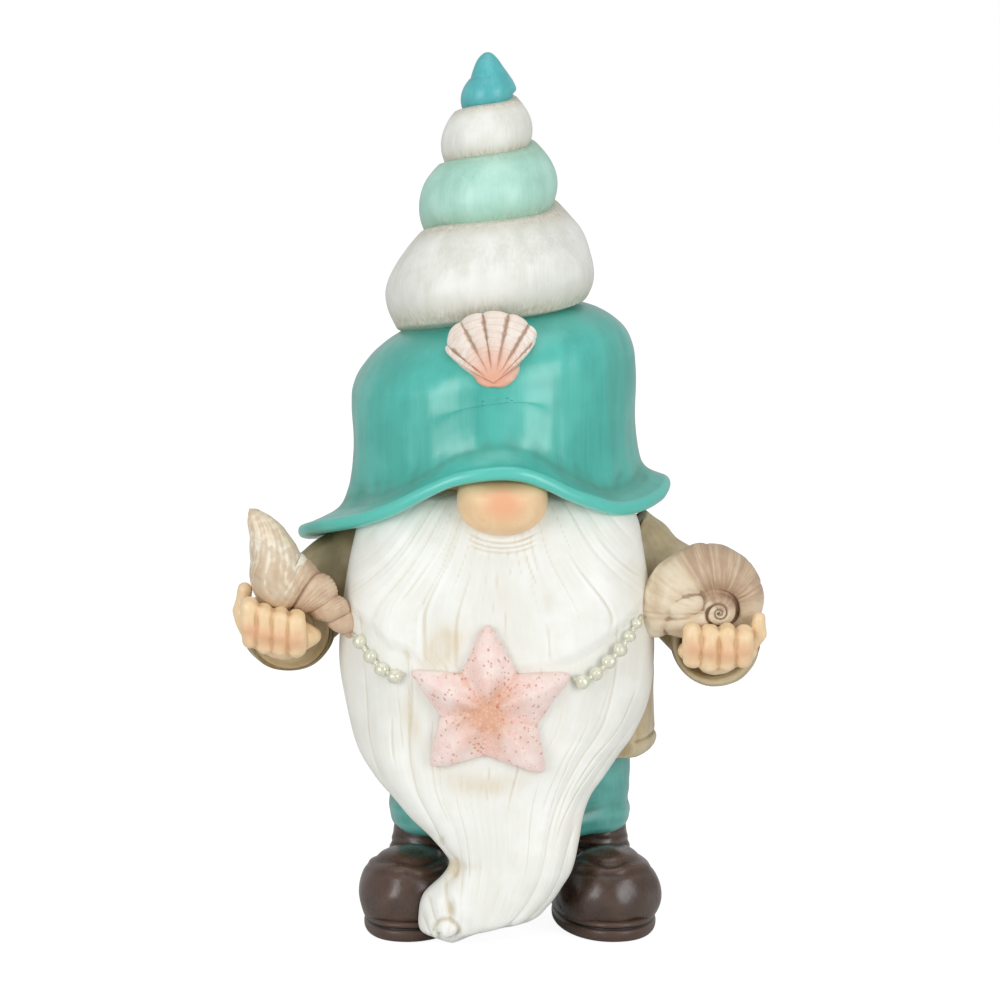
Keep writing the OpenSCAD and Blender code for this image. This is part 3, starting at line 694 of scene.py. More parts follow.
def build_scallop():
    """Fan of seven ribs from a hinge, with scalloped edge, growth lines and two ears."""
    lean = (360 * stops(380) - 180)[None, :]
    out = stops(130)[:, None]
    tilt = np.radians(lean)
    bounds = np.array([-64] + SCALLOP_GROOVES + [54])
    rib = np.zeros_like(lean)
    for a, b in zip(bounds[:-1], bounds[1:]):
        inside = (lean >= a) & (lean <= b)
        rib = np.where(inside, np.sin(np.pi * np.clip((lean - a) / (b - a), 0, 1)) ** 0.45, rib)
    reach = curve(lean, SCALLOP_REACH) * (1 + 0.045 * (rib - 0.6))
    face = np.clip(out / 0.84, 0, 1)
    rim = np.clip((out - 0.84) / 0.16, 0, 1)
    ears = np.clip(soft(lean, 50, 56) + soft(-lean, 62, 68), 0, 1)
    thick = 3.3 * np.sin(np.pi * np.clip(face * 0.8 + 0.14, 0, 1)) ** 0.6 * (1 - 0.35 * ears)
    ribs = (rib - 0.6) * 1.5 * soft(face, 0.1, 0.45) * (1 - ears)
    growth = 0.1 * np.sin(face * 58 + 1.6 * np.sin(lean * 0.12)) * soft(face, 0.3, 0.6) * rib
    proud = thick + ribs + growth - 0.5 * soft(face, 0.93, 1.0)
    proud = blend(proud, -2.4, np.sin(rim * np.pi / 2))
    r = reach * face * (1 - rim ** 3)
    x = SCALLOP_HINGE[0] + r * np.sin(tilt)
    z = SCALLOP_HINGE[1] + r * np.cos(tilt)
    y = crown_front(x, z) - proud
    front = place(x, y, z)
    points = raise_by(front, lumps(front, 5, 41) * 0.1)

    def peach(p, colour, streaks, cloud, grain):
        away = p.distance((SCALLOP_HINGE[0], 0.0, SCALLOP_HINGE[1]), (1.0, 0.0, 1.0))
        near = (away + cloud * 6 - streaks * 3).step(16.5, 4.5)
        colour = p.mix(near * 0.85, colour, rgb(226, 162, 132))
        bands = p.node("ShaderNodeTexNoise", {"noise_dimensions": "1D"},
                       {"W": away * 1.3 + cloud * 1.2, "Scale": 1.0, "Detail": 3.0})
        return p.mix(bands.step(0.5, 0.68) * 0.3, colour, rgb(214, 172, 150))

    finish = brushed("peach_washed_scallop", rgb(236, 226, 214), rgb(244, 239, 231), rgb(228, 208, 194),
                     rgb(150, 112, 82), wash_and_shade_amount=0.6, streak=0.7, gloss=0.46, coat=0.1, relief=0.1,
                     patch=5, run=3, extra=peach)
    cast(skin("hat_scallop_shell", points), finish, "hat_scallop")


# ---- the beard -----------------------------------------------------------------------------------

RIGHT_EDGE = [(0, -0.33), (0.01, -0.375), (0.032, -0.475), (0.074, -0.49), (0.117, -0.457),
              (0.158, -0.34), (0.185, -0.298), (0.205, -0.323), (0.245, -0.425), (0.281, -0.543),
              (0.319, -0.645), (0.363, -0.768), (0.426, -0.89), (0.515, -0.958), (0.62, -1),
              (0.75, -0.97), (0.87, -0.91), (0.94, -0.84), (1, -0.66)]
LEFT_EDGE = [(0, -0.22), (0.03, -0.1), (0.056, 0.2), (0.093, 0.33), (0.134, 0.413), (0.17, 0.472),
             (0.234, 0.515), (0.283, 0.542), (0.326, 0.592), (0.361, 0.672), (0.407, 0.775),
             (0.443, 0.862), (0.503, 0.947), (0.575, 0.989), (0.666, 0.996), (0.757, 0.97),
             (0.87, 0.92), (0.94, 0.87), (1, 0.7)]
# Smoother edges that the lower locks follow
SWEEP_RIGHT = [(0, -0.36), (0.12, -0.44), (0.25, -0.52), (0.36, -0.76), (0.5, -0.95), (0.7, -1), (1, -0.8)]
SWEEP_LEFT = [(0, -0.1), (0.06, 0.2), (0.15, 0.42), (0.28, 0.56), (0.4, 0.76), (0.5, 0.94), (0.7, 1),
              (1, 0.8)]
BEARD_FRONT = [(0, -56.4), (0.06, -61), (0.14, -60.6), (0.23, -58.8), (0.31, -57), (0.39, -55.3),
               (0.5, -53.4), (0.62, -52), (0.8, -48.4), (0.92, -43.2), (1, -36.5)]
BEARD_BACK = [(0, -47.2), (0.14, -47.2), (0.23, -46.4), (0.31, -40), (0.39, -31), (0.46, -22.4),
              (0.52, -21.9), (1, -21.9)]
CURL = (-18.7, 6.8)
STAR = (-4.6, 80.5)


def beard_level(z):
    """Middle, half width, back and depth of the beard at a height."""
    u = np.clip(np.asarray(z, float) / BEARD_TOP, 0, 1)
    right = BEARD_X + curve(u, RIGHT_EDGE) * BEARD_HALF
    left = BEARD_X + curve(u, LEFT_EDGE) * BEARD_HALF
    back = curve(u, BEARD_BACK)
    return (left + right) / 2, (left - right) / 2, back, back - curve(u, BEARD_FRONT)


def lock_line(x):
    """Lower edge of the upper locks, where the bead chain hangs."""
    return 93.2 + 19 * np.clip(np.abs(x + 2) / 48, 0, 1) ** 2.6 + 0.9 * np.sin(x * 0.55) * hill(x, -40, 14)


def upper_locks(x, z):
    """How far the upper locks stand proud of the lower ones."""
    line = lock_line(x)
    gap = soft(x, -27, -25.5) * (1 - soft(x, -16, -9)) * (1 - soft(z, 106, 118))
    return 1.2 * soft(z, line - 2.0, line + 3.2) * (1 - 0.85 * gap)


def smooth_beard(x, z):
    """The beard's front without its locks."""
    middle_x, half, back, depth = beard_level(z)
    return back - depth * full_round(np.clip(np.abs(x - middle_x) / half, 0, 1))


def beard_front(x, z):
    """The beard's front with its upper locks, where the beads lie."""
    return smooth_beard(x, z) + 0.6 - 0.75 * upper_locks(x, z)


def rounded_lobes(c, count, seed):
    """Locks side by side: full in the middle, meeting in narrow grooves. 0 in a groove, 1 on a lock."""
    rng = np.random.default_rng(seed)
    shift = np.zeros_like(c)
    for k in range(1, 5):
        shift += rng.uniform(-0.5, 0.5) / k * np.sin(k * 2.3 * c + rng.uniform(0, TURN))
    return np.abs(np.sin(np.pi * (c * count / 2 + shift))) ** 0.55


def cut_lines(c, z, count, seed, low_z, high_z, spread=1.0):
    """Fine lines cut along the hair, each over its own length."""
    rng = np.random.default_rng(seed)
    total = np.zeros_like(c)
    for _ in range(count):
        at = rng.uniform(-spread, spread)
        middle_z = rng.uniform(low_z, high_z)
        length = rng.uniform(7, 22)
        width = rng.uniform(0.004, 0.011)
        depth = rng.uniform(0.12, 0.42)
        drift = rng.uniform(-0.0025, 0.0025)
        begins = soft(z, middle_z - length, middle_z - length * 0.4)
        ends = soft(z, middle_z + length * 0.4, middle_z + length)
        total -= depth * np.exp(-((c - at - drift * (z - middle_z)) / width) ** 2) * (begins * (1 - ends))
    return total


def build_beard():
    """Carved beard: upper locks from the nose, lower locks that sweep down into a curl."""
    z = (BEARD_FOOT + (BEARD_TOP - BEARD_FOOT) * stops(330))[:, None]
    around = stops(298)[None, :]
    front = np.clip(around / 0.86, 0, 1)
    phi = np.pi + np.pi * front
    rear = np.clip((around - 0.86) / 0.14, 0, 1)
    middle_x, half, back, depth = beard_level(z)
    side = power(np.cos(phi), 2 / ROUND)
    face = np.abs(np.sin(phi)) ** (2 / ROUND)
    t = np.where(around <= 0.86, side, np.cos(np.pi * rear))
    bulge = 2.6 * (1 - soft(z, 34, 70)) + 0.2
    y = np.where(around <= 0.86, back - depth * face, back + bulge * np.sin(np.pi * rear))
    x = middle_x + half * t
    close = np.minimum(z - BEARD_FOOT, (BEARD_TOP - z) * 1.2) / 4.5
    cap = np.sqrt(np.clip(1 - (1 - np.clip(close, 0, 1)) ** 2, 0, 1))
    centre_y = back - depth * 0.42
    x = middle_x + (x - middle_x) * cap
    y = centre_y + (y - centre_y) * cap
    base = place(x, y, z + 0 * x)
    n = outward(base)

    fan = 1 + 0.9 * soft(z, 108, 150)
    c = t * fan
    on_front = (around <= 0.86) * soft(np.abs(t) * -1, -1.0, -0.9) * cap
    locks = upper_locks(x, z)
    upper = soft(z, lock_line(x) - 1.5, lock_line(x) + 3)
    hold = 0.5 + 0.5 * lumps(np.stack([c * 30, z * 0.35 + 0 * c, 0 * c], axis=-1), 12, 51)
    hold = np.clip(hold, 0, 1)
    big = (rounded_lobes(c, 8, 52) - 0.8) * 0.4 * upper * (0.3 + 0.7 * hold)
    u = z / BEARD_TOP
    sweep_right = BEARD_X + BEARD_HALF * curve(u, SWEEP_RIGHT)
    sweep_left = BEARD_X + BEARD_HALF * curve(u, SWEEP_LEFT)
    sweep = (2 * x - sweep_left - sweep_right) / (sweep_left - sweep_right) + 0.08 * np.sin(z * 0.05)
    outer_locks = 0.25 + 0.75 * soft(np.abs(sweep), 0.3, 0.75)
    lower = (rounded_lobes(sweep, 6, 53) - 0.8) * 0.75 * (1 - upper) * outer_locks
    small = (rounded_lobes(c * upper + sweep * (1 - upper), 24, 54) - 0.75) * 0.12 * hold
    lines = cut_lines(c, z, 36, 55, 96, 150, 1.5) * upper
    lines += cut_lines(sweep, z, 30, 56, 40, 96) * (1 - upper)
    proud = -0.9 + locks * 0.75 + big + lower + small + 0.7 * lines
    proud = proud + lumps(base, 24, 57) * 0.5

    nose_far = np.hypot((x - NOSE[0]) / 16.2, (z - NOSE[2]) / 13.2)
    below = soft(-z, -(NOSE[2] - 6), -(NOSE[2] - 10)) * (1 - soft(np.abs(x), 8, 13))
    creases = hill(nose_far, 1.12, 0.028) + hill(nose_far, 1.24, 0.028) + 0.7 * hill(nose_far, 1.35, 0.03)
    proud = proud - 0.55 * creases * below

    spin = np.hypot(x - CURL[0], z - CURL[1])
    turn_at = np.arctan2(z - CURL[1], x - CURL[0])
    swirl = hill(spin, 3.9 + 0.35 * turn_at, 0.85)
    button = 1.1 * hill(spin, 0, 2.4) - 1.3 * swirl * soft(-spin, -7, -5)
    dimple = 2.0 * hill(x, CURL[0] + 1.0, 1.7) * hill(z, CURL[1] + 8.0, 3.6)
    dimple += 1.4 * hill(x, CURL[0] + 1.8, 1.5) * hill(z, CURL[1] + 21.0, 2.6)
    proud = proud + button - dimple

    notch = 1.6 * hill(x - (-26 + 0.34 * (z - 20)), 0, 1.2) * soft(z, 14, 22) * (1 - soft(z, 30, 42))
    proud = proud - 0.5 * notch
    points = base + n * (proud * on_front)[..., None]
    points[..., 2] = np.maximum(points[..., 2], 0.15)

    # Tan marks: the spots are stains, while the band under the brim, the creases below the nose, the curl's
    # dimples, the ring round the star and the turned sides are painted shade.
    shade_and_stain = 0.95 * hill(x, -20, 6.5) * hill(z, 101, 10) + 0.55 * hill(x, -1, 8) * hill(z, 117, 7)
    shade_and_stain += 0.6 * hill(x, 15, 3) * hill(z, 116, 6) + 0.5 * hill(x, -31, 5) * hill(z, 76, 9)
    shade_and_stain += 0.9 * (hill(x, CURL[0] + 1.0, 2.6) * hill(z, CURL[1] + 7, 4)
                    + hill(x, CURL[0] + 2, 2.6) * hill(z, CURL[1] + 20, 5))
    star_far = np.hypot(x - STAR[0], (z - STAR[1]) * 1.02)
    shade_and_stain += 0.4 * hill(star_far, 26, 4) + 0.6 * hill(x, -8, 14) * hill(z, 56, 6)
    shade_and_stain += 0.5 * hill(x, 22, 6) * hill(z, 38, 14) + 0.4 * hill(x, -28, 4) * hill(z, 40, 14)
    shade_and_stain += 0.5 * soft(z, 139 + 0.1 * np.abs(x), 147) + 0.6 * below * creases
    shade_and_stain += 0.3 * soft(np.abs(t), 0.9, 1.0)
    flow = (c * upper + sweep * (1 - upper)) * 30

    def tan_stain_and_shade(p, colour, streaks, cloud, grain):
        here = (p.mark("shade_and_stain") * (0.25 + streaks * 1.1) * (0.3 + cloud * 1.1)).step(0.14, 0.95)
        return p.mix(here * 0.62, colour, rgb(212, 192, 152))

    finish = brushed("washed_white_beard", rgb(238, 240, 234), rgb(245, 246, 243), rgb(232, 232, 223),
                     rgb(206, 188, 152), wash_and_shade_amount=0.36, streak=0.8, gloss=0.44, coat=0.15, relief=0.05,
                     patch=12, edge=0.6, run=16, flow=True, extra=tan_stain_and_shade)
    marks = {"shade_and_stain": np.clip(shade_and_stain, 0, 1), "flow": flow, "along": z + 0 * x}
    cast(skin("carved_beard", points, marks), finish, "beard")


# ---- the starfish and the bead chain -------------------------------------------------------------

STAR_TIPS = [(24.3, 93.1), (-4.8, 111.4), (-32.3, 93.8), (-25.4, 60.2), (15.3, 58.2)]
STAR_VALLEYS = [(4.7, 92.4), (-13.7, 92.4), (-20.2, 78.4), (-5.4, 66.0), (11.2, 75.6)]


def star_seat(x, z):
    """Where the star sits flat, a little proud of the locks."""
    return smooth_beard(x, z) - 0.4 - 0.4 * soft(z, 90, 106)


def build_starfish():
    """Plump five-armed star with a sunken middle, pitted all over."""
    knots = []
    for spots, is_tip in ((STAR_TIPS, 1), (STAR_VALLEYS, 0)):
        for spot_x, spot_z in spots:
            bearing = math.degrees(math.atan2(spot_z - STAR[1], spot_x - STAR[0])) % 360
            knots.append((bearing, math.hypot(spot_x - STAR[0], spot_z - STAR[1]), is_tip))
    knots.sort()
    around = stops(420) * 360
    reach = np.zeros_like(around)
    ridge = np.zeros_like(around)
    knots = [(a - 360, r, k) for a, r, k in knots] + knots + [(a + 360, r, k) for a, r, k in knots]
    for (a0, r0, k0), (a1, r1, _) in zip(knots[:-1], knots[1:]):
        inside = (around >= a0) & (around <= a1)
        s = np.clip((around - a0) / (a1 - a0), 0, 1)
        tip_r, dip_r = (r0, r1) if k0 else (r1, r0)
        off = s if k0 else 1 - s
        away = np.radians(off * (a1 - a0))
        half = np.radians(a1 - a0)
        arm_x = dip_r * np.cos(half)
        arm_y = dip_r * np.sin(half)
        slope = arm_y / (tip_r - arm_x)
        straight = tip_r * slope / (np.sin(away) + slope * np.cos(away) + 1e-9)
        blunt = (straight ** -7 + ((tip_r - 0.2) / np.cos(np.clip(away * 1.2, 0, 1.2))) ** -7) ** (-1 / 7)
        reach = np.where(inside, blunt * (1 + 0.03 * (1 - off)), reach)
        ridge = np.where(inside, 0.5 + 0.5 * np.cos(np.pi * off), ridge)
    reach = (reach + np.roll(reach, 2) + np.roll(reach, -2)) / 3
    reach[-1] = reach[0]
    out = stops(150)[:, None]
    face = np.clip(out / 0.8, 0, 1)
    under = np.clip((out - 0.8) / 0.2, 0, 1)
    bearing = np.radians(around)[None, :]
    r = reach[None, :] * np.sin(face * np.pi / 2) ** 0.9 * (1 - 0.35 * under ** 3)
    x = STAR[0] + r * np.cos(bearing)
    z = STAR[1] + r * np.sin(bearing)
    plump = (1 - np.clip(r / reach[None, :], 0, 1) ** 2.6) ** 0.5
    arm_len = np.clip(r / 30, 0, 1)
    crest = blend(blend(0.35, 1, ridge[None, :]), 0.9, hill(r, 0, 8))
    thick = 7.6 * plump * crest * (1 - 0.35 * arm_len) - 3.2 * hill(r, 0, 7) * (out <= 0.8)
    thick = np.where(out <= 0.8, thick + 0.9, blend(0.9, -2.6, np.sin(under * np.pi / 2)))
    rng = np.random.default_rng(62)
    pitted = np.zeros_like(r)
    for _ in range(620):
        far = 30 * math.sqrt(rng.uniform(0.01, 1))
        way = rng.uniform(0, TURN)
        wide = rng.uniform(0.24, 0.42)
        spot = (x - STAR[0] - far * math.cos(way)) ** 2 + (z - STAR[1] - far * math.sin(way)) ** 2
        pitted = np.maximum(pitted, np.exp(-spot / wide ** 2) * rng.uniform(0.6, 1))
    pitted = pitted * (out <= 0.8)
    y = star_seat(x, z) - thick + 0.35 * pitted
    star = place(x, y, z)
    star = raise_by(star, lumps(star, 8, 61) * 0.2)

    def pits(p, colour, streaks, cloud, grain):
        away = p.distance((STAR[0], 0.0, STAR[1] - 1), (1.0, 0.0, 1.0))
        colour = p.mix((away + cloud * 10 - 4).step(18, 3) * 0.95, colour, rgb(222, 168, 138))
        pink = p.noise(p.place, 5.5, 2.0)
        colour = p.mix(pink.step(0.5, 0.68) * 0.4, colour, rgb(240, 200, 194))
        dots = p.cells(p.place, 1.3, "F1", 0.85)
        colour = p.mix(dots.step(0.42, 0.2) * 0.2, colour, rgb(250, 243, 237))
        return p.mix((p.mark("pit") * 1.3).step(0.35, 0.9) * 0.8, colour, rgb(206, 140, 114))

    finish = brushed("pitted_pink_starfish", rgb(241, 219, 211), rgb(247, 234, 228), rgb(236, 205, 196),
                     rgb(220, 168, 142), wash_and_shade_amount=0.5, streak=1.2, gloss=0.48, coat=0.1, relief=0.14,
                     patch=7, run=2, extra=pits)
    cast(skin("chest_starfish", star, {"pit": pitted}), finish, "starfish")


# Beads on each side: place across, height and radius
RIGHT_BEADS = [(-47.4, 100.9, 2.3), (-43.7, 96.6, 2.35), (-39.9, 92.7, 2.4), (-35.6, 90.7, 2.5)]
LEFT_BEADS = [(26.4, 89.3, 2.5), (31.0, 91.7, 2.35), (35.1, 95.3, 2.4), (38.9, 98.9, 2.35),
              (42.0, 103.0, 2.0), (44.6, 106.8, 1.9)]


def add_bead(bm, x, z, radius, seed):
    """One bead, a little uneven, that sits on the beard."""
    spot = Vector((x, float(beard_front(np.array(x), np.array(z))) - radius * 0.8, z))
    made = bmesh.ops.create_uvsphere(bm, u_segments=28, v_segments=18, radius=radius)["verts"]
    rng = np.random.default_rng(seed)
    squash = Matrix.Diagonal(Vector((1 + rng.uniform(-0.06, 0.06), 0.95, 1 + rng.uniform(-0.06, 0.06), 1)))
    turn = Matrix.Rotation(rng.uniform(0, TURN), 4, Vector(rng.normal(size=3)).normalized())
    bmesh.ops.transform(bm, matrix=Matrix.Translation(spot) @ squash @ turn, verts=made)
    return spot


def build_beads(name, beads, start, end, finish, node):
    """Pearl beads and the thread between them, as one casting."""
    bm = bmesh.new()
    spots = [add_bead(bm, x, z, r, 70 + k) for k, (x, z, r) in enumerate(beads)]
    ends = []
    for x, z in (start, end):
        ends.append(Vector((x, float(beard_front(np.array(x), np.array(z))) - 0.9, z)))
    path = [ends[0]] + spots + [ends[1]]
    for a, b in zip(path[:-1], path[1:]):
        way = b - a
        made = bmesh.ops.create_cone(bm, cap_ends=True, segments=14, radius1=0.75, radius2=0.75,
                                     depth=way.length)["verts"]
        turn = way.to_track_quat("Z", "Y").to_matrix().to_4x4()
        bmesh.ops.transform(bm, matrix=Matrix.Translation((a + b) / 2) @ turn, verts=made)
    bmesh.ops.scale(bm, vec=(MM, MM, MM), verts=bm.verts)
    bmesh.ops.recalc_face_normals(bm, faces=bm.faces)
    mesh = bpy.data.meshes.new(name)
    bm.to_mesh(mesh)
    bm.free()
    push(mesh, lumps(points_of(mesh), 1.6, 75) * 0.07)
    cast(mesh, finish, node)


def build_chain():
    finish = brushed("worn_pearl_beads", rgb(198, 199, 172), rgb(234, 234, 216), rgb(168, 168, 138),
                     rgb(104, 98, 66), wash_and_shade_amount=0.9, streak=0.6, gloss=0.24, coat=0.5, relief=0.1,
                     patch=2.2, edge=0.7, run=2, metal=0.25)
    build_beads("right_pearl_chain", RIGHT_BEADS, (-50.0, 103.0), (-32.6, 91.4), finish, "right_bead_string")
    build_beads("left_pearl_chain", LEFT_BEADS, (23.2, 90.4), (46.6, 108.8), finish, "left_bead_string")


# ---- rounded forms for the remeshed pieces -------------------------------------------------------

def add_ball(bm, centre, radii, tilt=(0, 0, 0)):
    """Egg-shaped form; tilt is in degrees about x, y and z."""
    made = bmesh.ops.create_icosphere(bm, subdivisions=4, radius=1)["verts"]
    turn = Matrix.Identity(4)
    for axis, degrees in zip("XYZ", tilt):
        turn = Matrix.Rotation(math.radians(degrees), 4, axis) @ turn
    stretch = Matrix.Diagonal(Vector((*radii, 1)))
    bmesh.ops.transform(bm, matrix=Matrix.Translation(Vector(centre)) @ turn @ stretch, verts=made)


def add_limb(bm, spots):
    """Chain of balls and tapered rods through (x, y, z, radius)."""
    for x, y, z, r in spots:
        add_ball(bm, (x, y, z), (r, r, r))
    for a, b in zip(spots[:-1], spots[1:]):
        start, end = Vector(a[:3]), Vector(b[:3])
        way = end - start
        made = bmesh.ops.create_cone(bm, cap_ends=True, segments=32, radius1=a[3], radius2=b[3],
                                     depth=way.length)["verts"]
        turn = way.to_track_quat("Z", "Y").to_matrix().to_4x4()
        bmesh.ops.transform(bm, matrix=Matrix.Translation((start + end) / 2) @ turn, verts=made)


# ---- the whelk shell -----------------------------------------------------------------------------

# Its bent axis from the point of the spire to the spout: x, z and radius
WHELK_AXIS = [(-47.6, 101.0, 0.5), (-49.6, 102.9, 2.3), (-53.2, 106.6, 4.0), (-58.2, 111.9, 5.6),
              (-64.0, 117.0, 8.1), (-73.2, 121.0, 10.6), (-76.4, 129.4, 8.2), (-79.4, 137.0, 5.4),
              (-82.5, 142.4, 2.5), (-84.0, 144.6, 0.6)]
WHELK_SEAMS = [(0.0, 0.2), (0.09, 1.0), (0.2, 2.0), (0.32, 3.0), (0.474, 4.0), (0.7, 4.9), (1.0, 5.4)]


def build_whelk():
    rows, columns = int(360 * FINE), int(200 * FINE)
    s = np.linspace(0, 1, rows + 1)
    chain = np.array(WHELK_AXIS)
    gaps = np.linalg.norm(np.diff(chain[:, :2], axis=0), axis=1)
    knots = np.concatenate([[0], np.cumsum(gaps)]) / gaps.sum()
    cx = curve(s, np.stack([knots, chain[:, 0]], axis=1))
    cz = curve(s, np.stack([knots, chain[:, 1]], axis=1))
    r = np.maximum(curve(s, np.stack([knots, chain[:, 2]], axis=1)), 0.05)
    tx, tz = np.gradient(cx), np.gradient(cz)
    length = np.hypot(tx, tz)
    tx, tz = tx / length, tz / length
    r = r * np.sqrt(np.clip(np.minimum(s, 1 - s) / 0.018, 0, 1))
    theta = np.linspace(0, TURN, columns + 1)[None, :]
    side = np.cos(theta)
    depth = np.sin(theta)
    phase = curve(s, WHELK_SEAMS)[:, None] - theta / TURN
    spire = 1 - soft(s, 0.42, 0.56)[:, None]
    seam = np.abs(np.sin(np.pi * phase))
    swell = (seam ** 0.5 - 0.8) * (0.30 * spire + 0.012)
    ridge = 0.018 * np.sin(TURN * phase * 7) * spire
    slant = theta * 9 + s[:, None] * 26
    cords = (0.009 * np.sin(slant) + 0.005 * np.sin(slant * 2.7 + 1)) * soft(s, 0.4, 0.6)[:, None]
    radius = r[:, None] * (1 + swell + ridge + cords)
    lip = 1.3 * hill(np.degrees(theta), 100, 24) * hill(s, 0.72, 0.2)[:, None]
    radius = radius - lip * 0.8
    back = -33.5 + 0.9 * np.sin(s * 3.0)
    y = back[:, None] + radius * depth * 1.02
    points = place(cx[:, None] - tz[:, None] * radius * side, y, cz[:, None] + tx[:, None] * radius * side)
    points = raise_by(points, lumps(points, 9, 81) * 0.35 * np.clip(r / 6, 0, 1)[:, None])
    points = raise_by(points, lumps(points, 2.4, 82) * 0.06)
    marks = {"flow": theta * r[:, None] * 0.9 + s[:, None] * 9, "along": s[:, None] * 55 + 0 * theta,
             "spire": spire + 0 * theta, "crease": (1 - soft(seam, 0.02, 0.3)) * spire}

    def spire_tint(p, colour, streaks, cloud, grain):
        mauve = p.mix(cloud.step(0.35, 0.65), rgb(196, 164, 138), rgb(216, 190, 160))
        mauve = p.mix(streaks.step(0.62, 0.8) * 0.6, mauve, rgb(226, 210, 184))
        colour = p.mix((p.mark("spire") * (0.7 + cloud * 0.6)).step(0.45, 0.9) * 0.9, colour, mauve)
        return p.mix((p.mark("crease") * (0.3 + streaks)).clip() * 0.6, colour, rgb(140, 108, 82))

    finish = brushed("streaked_whelk", rgb(240, 231, 210), rgb(246, 241, 228), rgb(222, 202, 171),
                     rgb(176, 142, 106), wash_and_shade_amount=0.5, streak=1.5, gloss=0.42, coat=0.18, relief=0.16,
                     patch=6, edge=0.35, run=9, flow=True, extra=spire_tint)
    cast(skin("whelk", points, marks), finish, "whelk_shell")


# ---- the moon snail shell ------------------------------------------------------------------------

SNAIL_EYE = (71.9, 110.2)
# Direction from the eye, distance of the tube's middle and its radius
SNAIL_TUBE = [(-35, 8.0, 3.2), (-15, 9.2, 3.9), (0, 10.0, 4.5), (30, 11.2, 5.6), (60, 12.4, 6.9),
              (90, 13.6, 7.9), (115, 14.5, 8.6), (140, 15.2, 9.2), (160, 16.0, 9.2), (175, 17.4, 8.5),
              (184, 19.2, 7.2), (191, 20.8, 5.4)]


def build_moon_snail():
    """Round shell: one tube that widens round its eye, with rays, growth scars and a coiled groove."""
    def forms(bm):
        rows = np.array(SNAIL_TUBE)
        for degrees in np.linspace(-35, 191, 40):
            far = float(curve(degrees, rows[:, [0, 1]]))
            r = float(curve(degrees, rows[:, [0, 2]]))
            a = math.radians(degrees)
            add_ball(bm, (SNAIL_EYE[0] + far * math.cos(a), -29.3, SNAIL_EYE[1] + far * math.sin(a)),
                     (r, r * 1.12, r))
        add_ball(bm, (SNAIL_EYE[0] - 3.5, -28.5, SNAIL_EYE[1] + 0.5), (11, 9.2, 8.5))
        add_ball(bm, (SNAIL_EYE[0], -34.2, SNAIL_EYE[1]), (5.9, 5.0, 5.9))
        add_ball(bm, (SNAIL_EYE[0] - 10, -29.3, SNAIL_EYE[1] - 2.4), (12.5, 10.4, 7.2))
        add_ball(bm, (SNAIL_EYE[0] - 12, -29.6, SNAIL_EYE[1] + 1.8), (10, 10.6, 8.5))

    mesh = remeshed("moon_snail", forms, 0.42, 10)
    points = points_of(mesh)
    dx = points[:, 0] - SNAIL_EYE[0]
    dz = points[:, 2] - SNAIL_EYE[1]
    far = np.hypot(dx, dz)
    bearing = np.arctan2(dz, dx)
    front = soft(-points[:, 1], 30, 33)
    coil = np.log(np.maximum(far, 0.3) / 6.3) / math.log(0.42) + bearing / TURN
    groove = np.exp(-(np.abs(np.mod(coil + 0.5, 1) - 0.5) / 0.11) ** 2) * (1 - soft(far, 6.6, 7.6)) * front
    rng = np.random.default_rng(91)
    rays = np.zeros(len(points))
    for k in (17, 29, 43, 61):
        rays += np.sin(bearing * k + rng.uniform(0, TURN) + 0.25 * far) * 2.0 / k
    ray_depth = 0.28 * rays * soft(far, 6, 10) * front ** 0.5
    scars = (0.35 * hill(bearing, 0.55, 0.035) + 0.3 * hill(bearing, 1.75, 0.03)
             + 0.25 * hill(bearing, 1.0, 0.02))
    height = ray_depth - 1.0 * groove - scars * soft(far, 7, 9) + 0.3 * lumps(points, 7, 92)
    push(mesh, height)
    for name, values in (("flow", bearing * 13), ("along", far), ("coil", groove),
                         ("top", soft(bearing, -0.5, 1.2) * (1 - soft(bearing, 1.6, 2.7)))):
        keep(mesh, name, values)

    def taupe(p, colour, streaks, cloud, grain):
        dusk = p.mix(streaks.step(0.4, 0.7), rgb(178, 148, 122), rgb(208, 184, 154))
        colour = p.mix((p.mark("top") * 0.9 + cloud * 0.5 - 0.1).step(0.3, 0.75) * 0.9, colour, dusk)
        colour = p.mix(streaks.step(0.66, 0.8) * 0.5, colour, rgb(240, 230, 208))
        return p.mix((p.mark("coil") * (0.45 + streaks)).clip() * 0.85, colour, rgb(122, 92, 66))

    finish = brushed("streaked_moon_snail", rgb(224, 206, 176), rgb(236, 226, 204), rgb(204, 178, 146),
                     rgb(140, 108, 80), wash_and_shade_amount=0.75, streak=1.25, gloss=0.4, coat=0.18, relief=0.28,
                     patch=7, edge=0.4, run=11, flow=True, extra=taupe)
    cast(mesh, finish, "moon_snail_shell")


# ---- the hands -----------------------------------------------------------------------------------

def hand_paint():
    def rosy(p, colour, streaks, cloud, grain):
        return p.mix((p.mark("rosy") * (0.5 + cloud * 0.9)).clip() * 0.6, colour, rgb(222, 158, 120))

    return brushed("warm_skin_hands", rgb(240, 210, 164), rgb(246, 224, 184), rgb(232, 194, 148),
                   rgb(192, 148, 104), wash_and_shade_amount=0.5, streak=1.6, gloss=0.38, coat=0.25, relief=0.08,
                   patch=5, run=2, extra=rosy)


